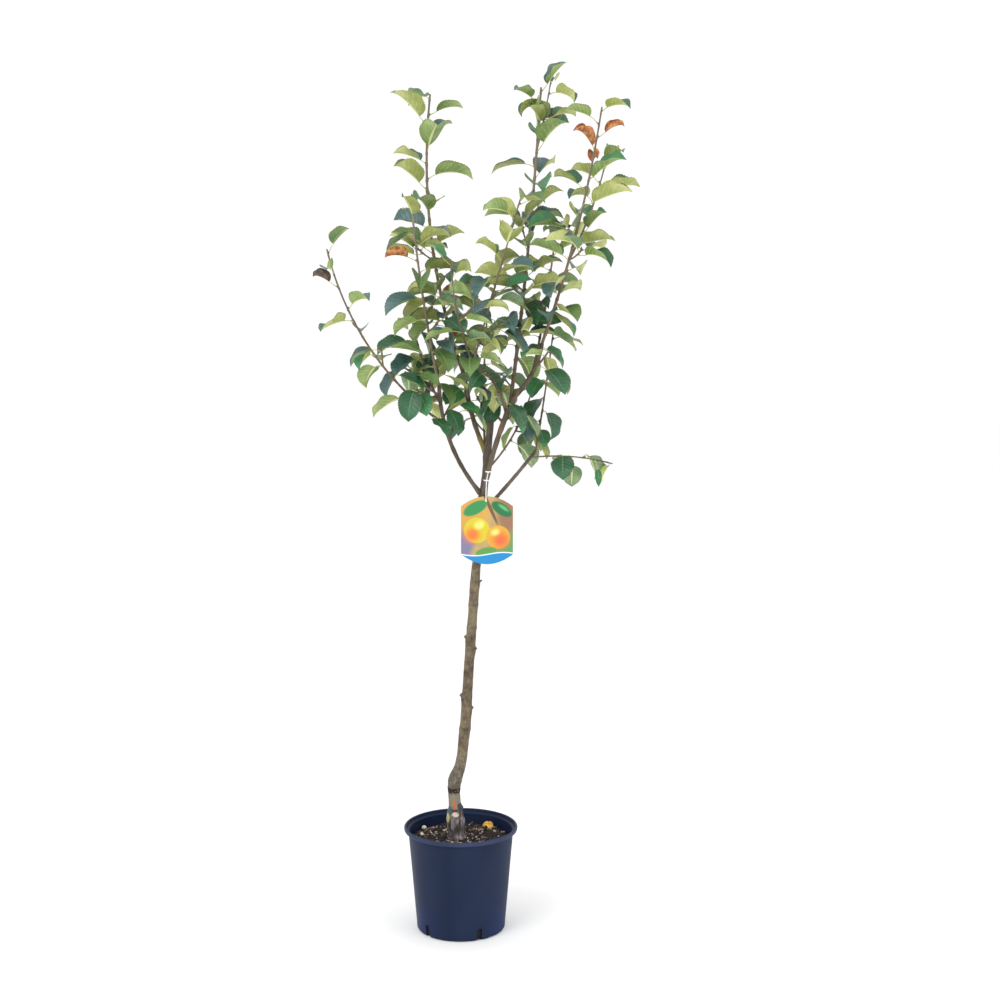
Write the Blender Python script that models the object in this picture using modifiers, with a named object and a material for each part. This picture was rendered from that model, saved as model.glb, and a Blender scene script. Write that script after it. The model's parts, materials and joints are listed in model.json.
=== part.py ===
"""A dwarf apple tree in a nursery pot, in metres with Z up.

The pot stands on Z = 0 with its axis at X = Y = 0. The front is at -Y and the right at +X.
The tree grows by rule. Each limb is an arc between two headings, and each heading is a
bearing, turned from +X towards +Y, with a lean away from upright, both in degrees. Leaves
follow their twig in a spiral of 144 degrees, with a seeded spread. A leaf or spur that
would touch what already stands is turned aside, and left out where that doesn't help.
"""

import math
import random
from collections import namedtuple

import bmesh
import bpy
import numpy as np
from mathutils import Matrix
from mathutils.bvhtree import BVHTree

GAP = 0.0003  # the clear space between pieces that meet

# The pot, a round nursery container of 24 cm
POT_HEIGHT = 0.222
POT_WALL = 0.0022
POT_FLOOR = 0.0035
RIM_RADIUS = 0.120
RIM_HEIGHT = 0.0095
RIM_WALL = 0.006
BODY_TOP_RADIUS = 0.1110
BASE_RADIUS = 0.0930
POT_SIDES = 56
DRAIN_COUNT = 5
DRAIN_START = -136.5
DRAIN_WIDTH = 0.011
DRAIN_HEIGHT = 0.026
DRAIN_REACH = 0.012
SOIL_TOP = 0.194

# The trunk from the soil to its pruned end, each row a height, the centre's X and a diameter
TRUNK = (
    (0.194, -0.0090, 0.0400),
    (0.205, -0.0095, 0.0365),
    (0.236, -0.0105, 0.0350),
    (0.250, -0.0120, 0.0310),
    (0.262, -0.0124, 0.0268),
    (0.300, -0.0144, 0.0256),
    (0.320, -0.0126, 0.0308),
    (0.332, -0.0078, 0.0280),
    (0.350, -0.0006, 0.0242),
    (0.380, 0.0042, 0.0230),
    (0.408, 0.0069, 0.0242),
    (0.450, 0.0110, 0.0234),
    (0.560, 0.0176, 0.0220),
    (0.740, 0.0305, 0.0204),
    (0.860, 0.0420, 0.0190),
    (0.940, 0.0500, 0.0166),
    (1.082, 0.0645, 0.0146),
)
TRUNK_SIDES = 14
TRUNK_STEP = 0.027

# Spur stubs on the trunk: height, bearing, how far they stand out, thickness and end thickness
KNOBS = (
    (0.250, -90, 0.0035, 0.0190, 0.0150),
    (0.739, 2, 0.0065, 0.0070, 0.0030),
    (0.622, 185, 0.0035, 0.0110, 0.0060),
    (0.598, -8, 0.0032, 0.0130, 0.0080),
    (0.497, 178, 0.0038, 0.0130, 0.0070),
    (0.471, 5, 0.0030, 0.0120, 0.0080),
)

# Limbs and stems start at a height on the trunk, or at a share of their parent's length
Limb = namedtuple("Limb", "name parent at bearing lean bearing_end lean_end length thick thin")
Stem = namedtuple("Stem", Limb._fields + ("bare", "spacing", "spurs"))

BOUGHS = (
    Limb("left", "trunk", 0.923, -160, 41, -96, 17, 0.262, 0.0090, 0.0075),
    Limb("back_left", "trunk", 1.008, 138, 34, 123, 13, 0.172, 0.0108, 0.0090),
    Limb("right", "trunk", 0.862, -71, 12, 3, 25, 0.282, 0.0092, 0.0120),
    Limb("right_upper", "right", 1.0, -9, 46, -40, 11, 0.125, 0.0100, 0.0080),
    Limb("low_right", "trunk", 0.888, 14, 45, 25, 42, 0.173, 0.0086, 0.0070),
)
BOUGH_SIDES = 10
BOUGH_STEP = 0.04
SADDLES = {"foliage_centre_leader": ("right_upper",)}  # other limbs that a base leans against

# Each mass of leaves, as its stems. The first starts at a bough or the trunk.
# A stem is bare up to a share of its length, then leafy at a spacing, and bears a count of spurs.
MASSES = {
    "left_leader": (
        Stem("main", "back_left", 1.0, 155, 22, 54, 10, 0.602, 0.0090, 0.0050, 0.02, 0.027, 4),
    ),
    "centre_leader": (
        Stem("main", "right", 0.92, 57, 14, 74, 13, 0.669, 0.0098, 0.0050, 0.02, 0.025, 5),
        Stem("second", "main", 0.80, 7, 14, 50, 14, 0.148, 0.0045, 0.0030, 0.15, 0.022, 0),
    ),
    "right_leader": (
        Stem("main", "right_upper", 1.0, -21, 21, -44, 11, 0.480, 0.0078, 0.0038, 0.04, 0.025, 4),
        Stem("second", "main", 0.36, 34, 33, 57, 21, 0.254, 0.0050, 0.0032, 0.25, 0.026, 0),
    ),
    "far_left": (
        Stem("main", "left", 0.68, -167, 54, -130, 18, 0.438, 0.0065, 0.0036, 0.06, 0.035, 2),
    ),
    "left_inner": (
        Stem("main", "left", 1.0, 120, 24, 109, 18, 0.393, 0.0070, 0.0042, 0.05, 0.026, 3),
    ),
    "cross": (
        Stem("main", "right", 0.85, 113, 25, -130, 72, 0.150, 0.0065, 0.0050, 0.3, 0.030, 1),
        Stem("v_left", "main", 0.98, -123, 34, -92, 31, 0.242, 0.0045, 0.0032, 0.05, 0.028, 1),
        Stem("v_right", "main", 0.96, -32, 19, -27, 18, 0.340, 0.0048, 0.0035, 0.05, 0.028, 2),
    ),
    "thin": (
        Stem("main", "right", 0.45, 53, 61, 56, 25, 0.246, 0.0050, 0.0036, 0.35, 0.026, 1),
    ),
    "low_up": (
        Stem("main", "low_right", 1.0, 40, 13, 45, 10, 0.245, 0.0050, 0.0036, 0.1, 0.028, 1),
    ),
    "low_out": (
        Stem("main", "low_right", 0.90, -5, 83, -19, 103, 0.174, 0.0042, 0.0032, 0.2, 0.022, 0),
    ),
    "back": (
        Stem("main", "trunk", 0.985, 96, 40, 80, 22, 0.340, 0.0070, 0.0042, 0.35, 0.028, 2),
    ),
    "back_right": (
        Stem("main", "right_upper", 0.5, 75, 45, 70, 20, 0.320, 0.0065, 0.0042, 0.2, 0.028, 2),
    ),
    "left_back": (
        Stem("main", "left", 0.85, 120, 50, 110, 25, 0.260, 0.0060, 0.0042, 0.2, 0.028, 2),
    ),
    "spur_left": (
        Stem("main", "left", 0.93, 175, 62, 178, 50, 0.085, 0.0055, 0.0042, 0.3, 0.014, 0),
    ),
    "spur_left_low": (
        Stem("main", "left", 0.74, 60, 50, 60, 40, 0.060, 0.0050, 0.0042, 0.3, 0.014, 0),
    ),
    "spur_back_left": (
        Stem("main", "back_left", 0.75, -95, 60, -90, 40, 0.060, 0.0055, 0.0042, 0.3, 0.014, 0),
    ),
    "spur_right": (
        Stem("main", "right", 0.80, 40, 60, 30, 50, 0.055, 0.0055, 0.0042, 0.3, 0.014, 0),
    ),
    "spur_right_front": (
        Stem("main", "right", 0.90, -120, 60, -120, 40, 0.055, 0.0055, 0.0042, 0.3, 0.014, 0),
    ),
    "spur_right_upper": (
        Stem("main", "right_upper", 0.55, -60, 60, -50, 45, 0.060, 0.0055, 0.0042, 0.3, 0.014, 0),
    ),
}
SEEDS = {
    "left_leader": 51,
    "centre_leader": 19,
    "right_leader": 4,
    "far_left": 33,
    "left_inner": 87,
    "cross": 22,
    "thin": 60,
    "low_up": 97,
    "low_out": 87,
    "back": 108,
    "back_right": 133,
    "left_back": 41,
    "spur_left": 56,
    "spur_left_low": 113,
    "spur_back_left": 118,
    "spur_right": 115,
    "spur_right_front": 16,
    "spur_right_upper": 35,
}
PATH_STEPS = 24
STEM_STEP = 0.09
TIP_BARE = 0.012

# Leaves: round and hanging low in the shade, longer, folded and raised high in the light
DIVERGENCE = 144.0
SHADE_LENGTH = 0.062
SUN_LENGTH = 0.075
SHADE_WIDTH = 0.86
SUN_WIDTH = 0.76
BLADE_THICK = 0.0011
STALK_LENGTH = (0.018, 0.028)
STALK_RADIUS = 0.0009
SHADE_HEIGHT = 1.02
SUN_HEIGHT = 1.42
CLEAR = 0.0011  # kept round a blade when it looks for its place
BLADE_ROWS = (0.24, 0.66)
TURNS = (
    (0, 0), (28, 0), (-28, 0), (0, 18), (50, -12), (-50, -12), (0, -26), (85, 0), (-85, 0),
)
Leaf = namedtuple(
    "Leaf", "root out stalk base bearing rise sag roll twist fold length width withered"
)

# The hang tag in front of the trunk
TAG_CENTRE = (0.0562, -0.0225, 0.8562)
TAG_WIDTH = 0.107
TAG_SHOULDER = 0.100
TAG_HEIGHT = 0.1415
TAG_THICK = 0.0008
TAG_HOLE = (0.0542, 0.9175)
TAG_HOLE_RADIUS = 0.0026
STRAP_WIDTH = 0.0025
STRAP_THICK = 0.0007
STRAP_BANDS = (0.9595, 0.9775)
STRAP_CLEAR = 0.0008


def unit(vector):
    return vector / np.linalg.norm(vector)


def between(first, last, share):
    return first + (last - first) * share


def heading(bearing, lean):
    turn = math.radians(bearing)
    tip = math.radians(lean)
    return np.array(
        [math.sin(tip) * math.cos(turn), math.sin(tip) * math.sin(turn), math.cos(tip)]
    )


class Path:
    """The centre line of a limb, with a radius at each of its points."""

    def __init__(self, points, radii):
        self.points = np.asarray(points, float)
        self.radii = np.asarray(radii, float)
        steps = np.linalg.norm(np.diff(self.points, axis=0), axis=1)
        self.run = np.concatenate([[0.0], np.cumsum(steps)])
        self.length = float(self.run[-1])

    def at(self, share):
        along = share * self.length
        return np.array([np.interp(along, self.run, self.points[:, i]) for i in range(3)])

    def radius(self, share):
        return float(np.interp(share * self.length, self.run, self.radii))

    def tangent(self, share):
        low = max(0.0, share - 0.02)
        high = min(1.0, share + 0.02)
        return unit(self.at(high) - self.at(low))

    def ring(self, share, sides, extra=0.0):
        """Points round the limb, in the plane square to it."""
        along = self.tangent(share)
        guide = np.array([0.0, 1.0, 0.0]) if abs(along[1]) < 0.8 else np.array([1.0, 0.0, 0.0])
        side = unit(np.cross(along, guide))
        other = np.cross(along, side)
        turns = 2 * math.pi * (np.arange(sides) + 0.5) / sides
        reach = self.radius(share) + extra
        around = np.outer(np.cos(turns), side) + np.outer(np.sin(turns), other)
        return self.at(share) + reach * around


def trunk_path():
    rows = np.array(TRUNK)
    heights = np.linspace(SOIL_TOP + GAP, rows[-1, 0], 181)
    across = np.interp(heights, rows[:, 0], rows[:, 1])
    across = np.convolve(np.pad(across, 2, "edge"), np.ones(5) / 5, "valid")
    radii = np.interp(heights, rows[:, 0], rows[:, 2]) / 2
    return Path(np.stack([across, np.zeros_like(heights), heights], 1), radii)


def grown_path(start, row):
    """An arc from one heading to another, blended evenly along its length."""
    blend = ((np.arange(PATH_STEPS) + 0.5) / PATH_STEPS)[:, None]
    first = heading(row.bearing, row.lean)
    last = heading(row.bearing_end, row.lean_end)
    course = first * (1 - blend) + last * blend
    course /= np.linalg.norm(course, axis=1)[:, None]
    steps = np.cumsum(course * row.length / PATH_STEPS, axis=0)
    radii = np.linspace(row.thick, row.thin, PATH_STEPS + 1) / 2
    return Path(np.vstack([start, start + steps]), radii)


def limb_start(paths, row):
    parent = paths[row.parent]
    if row.parent == "trunk":
        return np.array([np.interp(row.at, parent.points[:, 2], parent.points[:, i]) for i in range(3)])
    if row.at == 1.0:
        return parent.at(1.0) + GAP * parent.tangent(1.0)
    return parent.at(row.at)


def bough_paths():
    paths = {"trunk": trunk_path()}
    for row in BOUGHS:
        paths[row.name] = grown_path(limb_start(paths, row), row)
    return paths


def away_from(path, share, turn):
    """A direction square to the limb, turned round it from the +X side."""
    along = path.tangent(share)
    guide = np.array([1.0, 0.0, 0.0]) if abs(along[0]) < 0.8 else np.array([0.0, 1.0, 0.0])
    first = unit(guide - along * (along @ guide))
    second = np.cross(along, first)
    angle = math.radians(turn)
    return first * math.cos(angle) + second * math.sin(angle)


def blade_heading(bearing, rise):
    turn = math.radians(bearing)
    up = math.radians(rise)
    return np.array([math.cos(up) * math.cos(turn), math.cos(up) * math.sin(turn), math.sin(up)])


def leaf_at(path, share, turn, rng, size):
    """A leaf whose place on its twig is set, with its lie and size drawn by chance."""
    root = path.at(share)
    away = away_from(path, share, turn)
    spread = math.radians(rng.uniform(40, 62))
    out = unit(path.tangent(share) * math.cos(spread) + away * math.sin(spread))
    light = min(1.0, max(0.0, (root[2] - SHADE_HEIGHT) / (SUN_HEIGHT - SHADE_HEIGHT)))
    withered = rng.random() < 0.03 + 0.08 * light * (share > 0.6)
    bearing = math.degrees(math.atan2(away[1], away[0])) + rng.gauss(0, 20)
    rise = -50 + 78 * light + rng.gauss(0, 15)
    sag = max(12.0, 30 + rng.gauss(0, 12))
    roll = rng.gauss(0, 16)
    twist = rng.gauss(0, 14)
    fold = min(52.0, max(6.0, 12 + 28 * light + rng.gauss(0, 8)))
    length = size * between(SHADE_LENGTH, SUN_LENGTH, light) * rng.uniform(0.82, 1.18)
    width = length * between(SHADE_WIDTH, SUN_WIDTH, light) * rng.uniform(0.92, 1.08)
    stalk = rng.uniform(*STALK_LENGTH)
    if withered:
        fold = 62.0
        width *= 0.8
        length *= 0.75
    leaf = Leaf(root, out, stalk, root, bearing, rise, sag, roll, twist, fold, length, width, withered)
    return turned(leaf, 0, 0)


def turned(leaf, bearing, rise):
    """The leaf with its blade aimed aside, its stalk bending to it."""
    bearing = leaf.bearing + bearing
    rise = leaf.rise + rise
    bend = leaf.out * 0.55 + blade_heading(bearing, rise) * 0.45
    return leaf._replace(base=leaf.root + bend * leaf.stalk, bearing=bearing, rise=rise)


def blade_outline(t):
    """Half width at share t of the blade, as a share of its greatest."""
    low, high = 0.50, 0.74
    peak = low / (low + high)
    return t**low * (1 - t) ** high / (peak**low * (1 - peak) ** high)


def blade_frame(leaf, t):
    """Midrib point, direction, side and upper normal at share t of the blade."""
    turn = math.radians(leaf.bearing)
    first = math.radians(leaf.rise)
    sag = math.radians(leaf.sag)
    now = first - sag * t
    flat = np.array([math.cos(turn), math.sin(turn), 0.0])
    up = np.array([0.0, 0.0, 1.0])
    run = (math.sin(first) - math.sin(now)) / sag
    climb = (math.cos(now) - math.cos(first)) / sag
    middle = leaf.base + leaf.length * (flat * run + up * climb)
    along = flat * math.cos(now) + up * math.sin(now)
    side = np.array([-math.sin(turn), math.cos(turn), 0.0])
    normal = np.cross(along, side)
    roll = math.radians(leaf.roll + leaf.twist * t)
    turned_side = side * math.cos(roll) + normal * math.sin(roll)
    return middle, along, turned_side, normal * math.cos(roll) - side * math.sin(roll)


def blade_section(leaf, t, thick, widen):
    """Left edge, top, right edge and underside of the folded blade."""
    middle, _, side, normal = blade_frame(leaf, t)
    fold = math.radians(leaf.fold)
    reach = widen * 0.5 * leaf.width * blade_outline(t)
    lift = math.sin(fold) * reach * normal
    across = math.cos(fold) * reach * side
    half = 0.5 * thick * normal
    return np.array([middle + across + lift, middle + half, middle - across + lift, middle - half])


def stalk_section(leaf, point, radius):
    """A small diamond square to the stalk, its corners in the order of a blade section's."""
    course = unit(leaf.base - leaf.root)
    side = blade_frame(leaf, 0.0)[2]
    side = unit(side - course * (side @ course))
    over = np.cross(course, side)
    return point + radius * np.array([side, over, -side, -over])


def leaf_sections(leaf):
    """The whole leaf, from its root in the twig's middle to its tip."""
    sections = [stalk_section(leaf, leaf.root, STALK_RADIUS * 0.8)]
    sections.append(stalk_section(leaf, leaf.base, STALK_RADIUS))
    sections += [blade_section(leaf, t, BLADE_THICK, 1.04) for t in BLADE_ROWS]
    sections.append(blade_frame(leaf, 1.0)[0][None])
    return sections


def guard_sections(leaf):
    """A slightly fatter blade, and the outer half of the stalk, for the touch test."""
    thick = BLADE_THICK + 2 * CLEAR
    blade = [stalk_section(leaf, leaf.base, STALK_RADIUS + CLEAR)]
    blade += [blade_section(leaf, t, thick, 1.08) for t in BLADE_ROWS]
    tip, along, _, _ = blade_frame(leaf, 1.0)
    blade.append((tip + CLEAR * along)[None])
    inner = leaf.root * 0.75 + leaf.base * 0.25
    stalk = [stalk_section(leaf, point, STALK_RADIUS + CLEAR) for point in (inner, leaf.base)]
    return blade, stalk


def loft(sections):
    """Points and faces of a closed skin over sections, the last of which may be one point.

    Diagonals run from even corners to the next section's odd ones, so that the two skins
    of a thin leaf bend alike and never cross.
    """
    points = np.vstack(sections)
    sides = len(sections[0])
    faces = [tuple(range(sides))]
    row = 0
    for section in sections[1:]:
        following = row + sides
        for i in range(sides):
            j = (i + 1) % sides
            if len(section) == 1:
                faces.append((row + j, row + i, following))
            elif i % 2 == 0:
                faces.append((row + j, row + i, following + j))
                faces.append((row + i, following + i, following + j))
            else:
                faces.append((row + j, row + i, following + i))
                faces.append((row + j, following + i, following + j))
        row = following
    if len(sections[-1]) > 1:
        faces.append(tuple(range(row + sides - 1, row - 1, -1)))
    return points, faces


class Space:
    """What already stands in the crown."""

    def __init__(self):
        self.trees = []
        self.owners = []
        self.low = np.zeros((0, 3))
        self.high = np.zeros((0, 3))

    def add(self, sections, owner):
        points, faces = loft(sections)
        self.trees.append(BVHTree.FromPolygons(points.tolist(), faces))
        self.owners.append(owner)
        self.low = np.vstack([self.low, points.min(0)])
        self.high = np.vstack([self.high, points.max(0)])

    def is_clear(self, sections, but=None):
        points, faces = loft(sections)
        near = (self.low <= points.max(0)).all(1) & (self.high >= points.min(0)).all(1)
        tree = None
        for i in np.nonzero(near)[0]:
            if self.owners[i] == but:
                continue
            tree = tree or BVHTree.FromPolygons(points.tolist(), faces)
            if tree.overlap(self.trees[i]):
                return False
        return True


def limb_sections(path, sides, step, extra=0.0):
    count = max(2, round(path.length / step))
    return [path.ring(i / count, sides, extra) for i in range(count + 1)]


def spur_path(path, count, index, key):
    """A short side twig, drawn by chance along its stem, and its turn round it."""
    rng = random.Random(f"{key} spur {index}")
    share = 0.05 + 0.46 * (index + rng.uniform(0.1, 0.9)) / count
    turn = rng.uniform(0, 360)
    aim = unit(path.tangent(share) * 0.55 + away_from(path, share, turn))
    bearing = math.degrees(math.atan2(aim[1], aim[0]))
    lean = math.degrees(math.acos(aim[2]))
    length = rng.uniform(0.03, 0.07)
    row = Limb("", "", share, bearing, lean, bearing, lean * 0.6, length, 0.0042, 0.0034)
    return grown_path(path.at(share), row), turn


def vigour(row):
    """How large a stem's leaves grow: a thin shoot bears smaller ones."""
    return min(1.0, 0.62 + 42 * row.thick)


def stem_leaves(path, row, key, first_turn):
    """The leaves in a spiral along a stem, as they would stand with nothing in the way."""
    leafy = row.length * (1 - row.bare) - TIP_BARE
    count = int(leafy / row.spacing) + 1
    for k in range(count):
        rng = random.Random(f"{key} leaf {k}")
        along = row.length * row.bare + leafy * k / max(1, count - 1)
        if 0 < k < count - 1:
            along += rng.uniform(-0.25, 0.25) * row.spacing
        size = vigour(row) * (1.0 if k < count - 2 else 0.85)
        turn = first_turn + DIVERGENCE * k + rng.gauss(0, 12)
        yield leaf_at(path, along / row.length, turn, rng, size)


def spur_leaves(path, turn, key, index):
    count = 3 + random.Random(f"{key} rosette {index}").randint(0, 2)
    for j in range(count):
        rng = random.Random(f"{key} spur {index} leaf {j}")
        share = 0.50 + 0.42 * (j + 1) / count
        yield leaf_at(path, share, turn + DIVERGENCE * j, rng, rng.uniform(0.85, 0.95))


def placed(leaf, space, owner):
    """The leaf, turned aside if it must be, or None where nothing fits."""
    for bearing, rise in TURNS:
        candidate = turned(leaf, bearing, rise)
        blade, stalk = guard_sections(candidate)
        if space.is_clear(blade) and space.is_clear(stalk, but=owner):
            space.add(leaf_sections(candidate), "leaf")
            return candidate
    return None


def mass_stems(boughs):
    """The paths of every mass's stems, by mass and stem name."""
    masses = {}
    for name, rows in MASSES.items():
        paths = {}
        for row in rows:
            known = paths if row.parent in paths else boughs
            paths[row.name] = grown_path(limb_start(known, row), row)
        masses[name] = paths
    return masses


def wanted_growth(name, paths):
    """Each stem's leaves and spurs, in the order they look for their place."""
    for row in MASSES[name]:
        key = f"{name} {row.name} {SEEDS[name]}"
        turn = random.Random(key).uniform(0, 360)
        yield row.name, paths[row.name], list(stem_leaves(paths[row.name], row, key, turn))
        for index in range(row.spurs):
            path, spur_turn = spur_path(paths[row.name], row.spurs, index, key)
            yield f"{row.name} {index}", path, list(spur_leaves(path, spur_turn, key, index))


def grow_crown(boughs):
    """Every mass as its twigs and leaves, none touching another mass or a limb."""
    space = Space()
    for path in boughs.values():
        space.add(limb_sections(path, BOUGH_SIDES, BOUGH_STEP, CLEAR), "bough")
    stems = mass_stems(boughs)
    for name, paths in stems.items():
        for stem, path in paths.items():
            space.add(limb_sections(path, 6, STEM_STEP, CLEAR), (name, stem))
    crown = {}
    for name, paths in stems.items():
        twigs = dict(paths)
        leaves = []
        for stem, path, wanted in wanted_growth(name, paths):
            owner = (name, stem)
            if stem not in paths:
                outer = [path.ring(share, 4, CLEAR) for share in (0.25, 1.0)]
                if not space.is_clear(outer):
                    continue
                twigs[stem] = path
                space.add(limb_sections(path, 6, STEM_STEP, 0.0), owner)
            leaves += [leaf for leaf in (placed(leaf, space, owner) for leaf in wanted) if leaf]
        crown[name] = (twigs, leaves)
    return crown


def material(name, colour, roughness, metallic=0.0):
    made = bpy.data.materials.new(name)
    made.use_nodes = True
    shader = made.node_tree.nodes["Principled BSDF"]
    shader.inputs["Base Color"].default_value = (*colour, 1.0)
    shader.inputs["Roughness"].default_value = roughness
    shader.inputs["Metallic"].default_value = metallic
    return made


def add_object(name, mesh, collection=None):
    obj = bpy.data.objects.new(name, mesh)
    (collection or bpy.data.collections["Apple tree"]).objects.link(obj)
    return obj


def smooth(obj, angle):
    obj.data.shade_smooth()
    obj.data.set_sharp_from_angle(angle=math.radians(angle))


def lofted(name, sections, collection=None):
    points, faces = loft(sections)
    mesh = bpy.data.meshes.new(name)
    mesh.from_pydata(points.tolist(), [], faces)
    bm = bmesh.new()
    bm.from_mesh(mesh)
    bmesh.ops.recalc_face_normals(bm, faces=bm.faces)
    bm.to_mesh(mesh)
    bm.free()
    return add_object(name, mesh, collection)


def helpers(name):
    """A collection of pieces that a Boolean uses up."""
    made = bpy.data.collections.new(name)
    bpy.context.scene.collection.children.link(made)
    made.hide_render = True
    return made


def hide(obj):
    obj.hide_render = True
    obj.display_type = "WIRE"


def combine(obj, operation, collection, solver):
    """Applies a Boolean with all of a collection, then removes the collection."""
    modifier = obj.modifiers.new("Combine", "BOOLEAN")
    modifier.operation = operation
    modifier.solver = solver
    modifier.operand_type = "COLLECTION"
    modifier.collection = collection
    bpy.context.view_layer.update()
    graph = bpy.context.evaluated_depsgraph_get()
    made = bpy.data.meshes.new_from_object(obj.evaluated_get(graph))
    obj.modifiers.remove(modifier)
    obj.data = made
    made.name = obj.name
    for piece in list(collection.objects):
        bpy.data.objects.remove(piece, do_unlink=True)
    bpy.data.collections.remove(collection)


def turned_profile(name, profile, sides):
    """A solid of revolution about Z, its profile run from the top down the outer side."""
    mesh = bpy.data.meshes.new(name)
    points = [(radius, 0.0, height) for radius, height in profile]
    mesh.from_pydata(points, [(i, i + 1) for i in range(len(points) - 1)], [])
    obj = add_object(name, mesh)
    screw = obj.modifiers.new("Turn", "SCREW")
    screw.axis = "Z"
    screw.angle = 2 * math.pi
    screw.steps = sides
    screw.render_steps = sides
    screw.use_merge_vertices = True
    screw.merge_threshold = 0.0001
    bpy.context.view_layer.update()
    graph = bpy.context.evaluated_depsgraph_get()
    obj.data = bpy.data.meshes.new_from_object(obj.evaluated_get(graph))
    obj.modifiers.remove(screw)
    weld(obj, 1e-5)
    return obj


def weld(obj, distance):
    """Merges doubled points and turns every face outward."""
    bm = bmesh.new()
    bm.from_mesh(obj.data)
    bmesh.ops.remove_doubles(bm, verts=bm.verts, dist=distance)
    bmesh.ops.dissolve_degenerate(bm, edges=bm.edges, dist=distance / 2)
    bmesh.ops.recalc_face_normals(bm, faces=bm.faces)
    bm.to_mesh(obj.data)
    bm.free()


def wall_radius(height):
    """Outer radius of the pot's body at a height."""
    share = height / (POT_HEIGHT - RIM_HEIGHT)
    return BASE_RADIUS + (BODY_TOP_RADIUS - BASE_RADIUS) * share


def build_pot():
    under = POT_HEIGHT - RIM_HEIGHT
    inner = RIM_RADIUS - RIM_WALL
    profile = [
        (0.0, POT_FLOOR),
        (wall_radius(POT_FLOOR) - POT_WALL, POT_FLOOR),
        (wall_radius(under) - POT_WALL, under),
        (inner - 0.0004, POT_HEIGHT - 0.004),
        (inner + 0.0016, POT_HEIGHT),
        (RIM_RADIUS - 0.0018, POT_HEIGHT),
        (RIM_RADIUS, POT_HEIGHT - 0.0018),
        (RIM_RADIUS - 0.0006, under + 0.001),
        (RIM_RADIUS - 0.0016, under),
        (wall_radius(under), under),
        (BASE_RADIUS + 0.0004, 0.004),
        (BASE_RADIUS - 0.0025, 0.0),
        (0.0, 0.0),
    ]
    pot = turned_profile("pot", profile, POT_SIDES)
    pot.data.materials.append(material("pot_plastic", (0.018, 0.024, 0.052), 0.42))
    slots = helpers("Drain slots")
    for index in range(DRAIN_COUNT):
        turn = math.radians(DRAIN_START + 360 * index / DRAIN_COUNT)
        mesh = bpy.data.meshes.new("Drain slot")
        bm = bmesh.new()
        bmesh.ops.create_cube(bm, size=1.0)
        bmesh.ops.scale(bm, vec=(2 * DRAIN_REACH, DRAIN_WIDTH, 2 * DRAIN_HEIGHT), verts=bm.verts)
        upright = [edge for edge in bm.edges if abs(edge.verts[0].co.y - edge.verts[1].co.y) < 1e-6]
        upright = [edge for edge in upright if abs(edge.verts[0].co.z - edge.verts[1].co.z) < 1e-6]
        bmesh.ops.bevel(
            bm, geom=upright, offset=0.003, offset_type="OFFSET", segments=2, profile=0.5,
            affect="EDGES", material=-1,
        )
        bmesh.ops.translate(bm, vec=(BASE_RADIUS + 0.001, 0.0, 0.0), verts=bm.verts)
        bmesh.ops.rotate(bm, cent=(0, 0, 0), matrix=Matrix.Rotation(turn, 3, "Z"), verts=bm.verts)
        bm.to_mesh(mesh)
        bm.free()
        hide(add_object("Drain slot", mesh, slots))
    combine(pot, "DIFFERENCE", slots, "EXACT")
    smooth(pot, 35)


def build_soil():
    under = POT_HEIGHT - RIM_HEIGHT
    inset = POT_WALL + GAP + 0.0003
    profile = [
        (0.0, SOIL_TOP),
        (wall_radius(SOIL_TOP) - inset - 0.004, SOIL_TOP),
        (wall_radius(SOIL_TOP - 0.003) - inset, SOIL_TOP - 0.003),
        (wall_radius(POT_FLOOR + 0.003) - inset, POT_FLOOR + 0.003),
        (wall_radius(POT_FLOOR) - inset - 0.003, POT_FLOOR + GAP),
        (0.0, POT_FLOOR + GAP),
    ]
    soil = turned_profile("soil", profile, POT_SIDES)
    soil.data.materials.append(material("potting_soil", (0.035, 0.022, 0.015), 0.95))
    smooth(soil, 35)


def build_trunk(path, bark):
    sections = limb_sections(path, TRUNK_SIDES, TRUNK_STEP)
    sections[0][:, 2] = SOIL_TOP + GAP
    trunk = lofted("trunk", sections)
    trunk.data.materials.append(bark)
    stubs = helpers("Stubs")
    for height, bearing, reach, thick, thin in KNOBS:
        row = Limb("", "trunk", height, bearing, 70, bearing, 62, 1.0, thick, thin)
        start = limb_start({"trunk": path}, row)
        reach += float(np.interp(height, path.points[:, 2], path.radii))
        stub = grown_path(start, row._replace(length=reach))
        hide(lofted("Stub", limb_sections(stub, 6, reach), stubs))
    combine(trunk, "UNION", stubs, "EXACT")
    smooth(trunk, 50)


def based_sections(row, paths, path, sides, step, extra=0.0):
    """Rings along a limb. Where it grows on from its parent's end, its foot is cut to that end."""
    sections = limb_sections(path, sides, step, extra)
    if row.at == 1.0:
        along = paths[row.parent].tangent(1.0)
        course = path.tangent(0.0)
        slide = ((path.at(0.0) - sections[0]) @ along) / (course @ along)
        sections[0] = sections[0] + np.outer(slide, course)
    return sections


def build_limb(name, path, row, paths, sides, step):
    """A limb that meets its parent's bark, or its parent's end, with a small gap."""
    limb = lofted(name, based_sections(row, paths, path, sides, step))
    leant_on = list(SADDLES.get(name, ()))
    if row.at < 1.0 or row.parent == "trunk":
        leant_on.append(row.parent)
    if leant_on:
        saddles = helpers("Saddles")
        rows = {bough.name: bough for bough in BOUGHS}
        for other in leant_on:
            around = TRUNK_SIDES if other == "trunk" else BOUGH_SIDES
            bough = rows.get(other, row._replace(at=0.0))
            rings = based_sections(bough, paths, paths[other], around, BOUGH_STEP, GAP * 1.2)
            hide(lofted("Saddle", rings, saddles))
        combine(limb, "DIFFERENCE", saddles, "EXACT")
        keep_largest(limb)
    return limb


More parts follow.
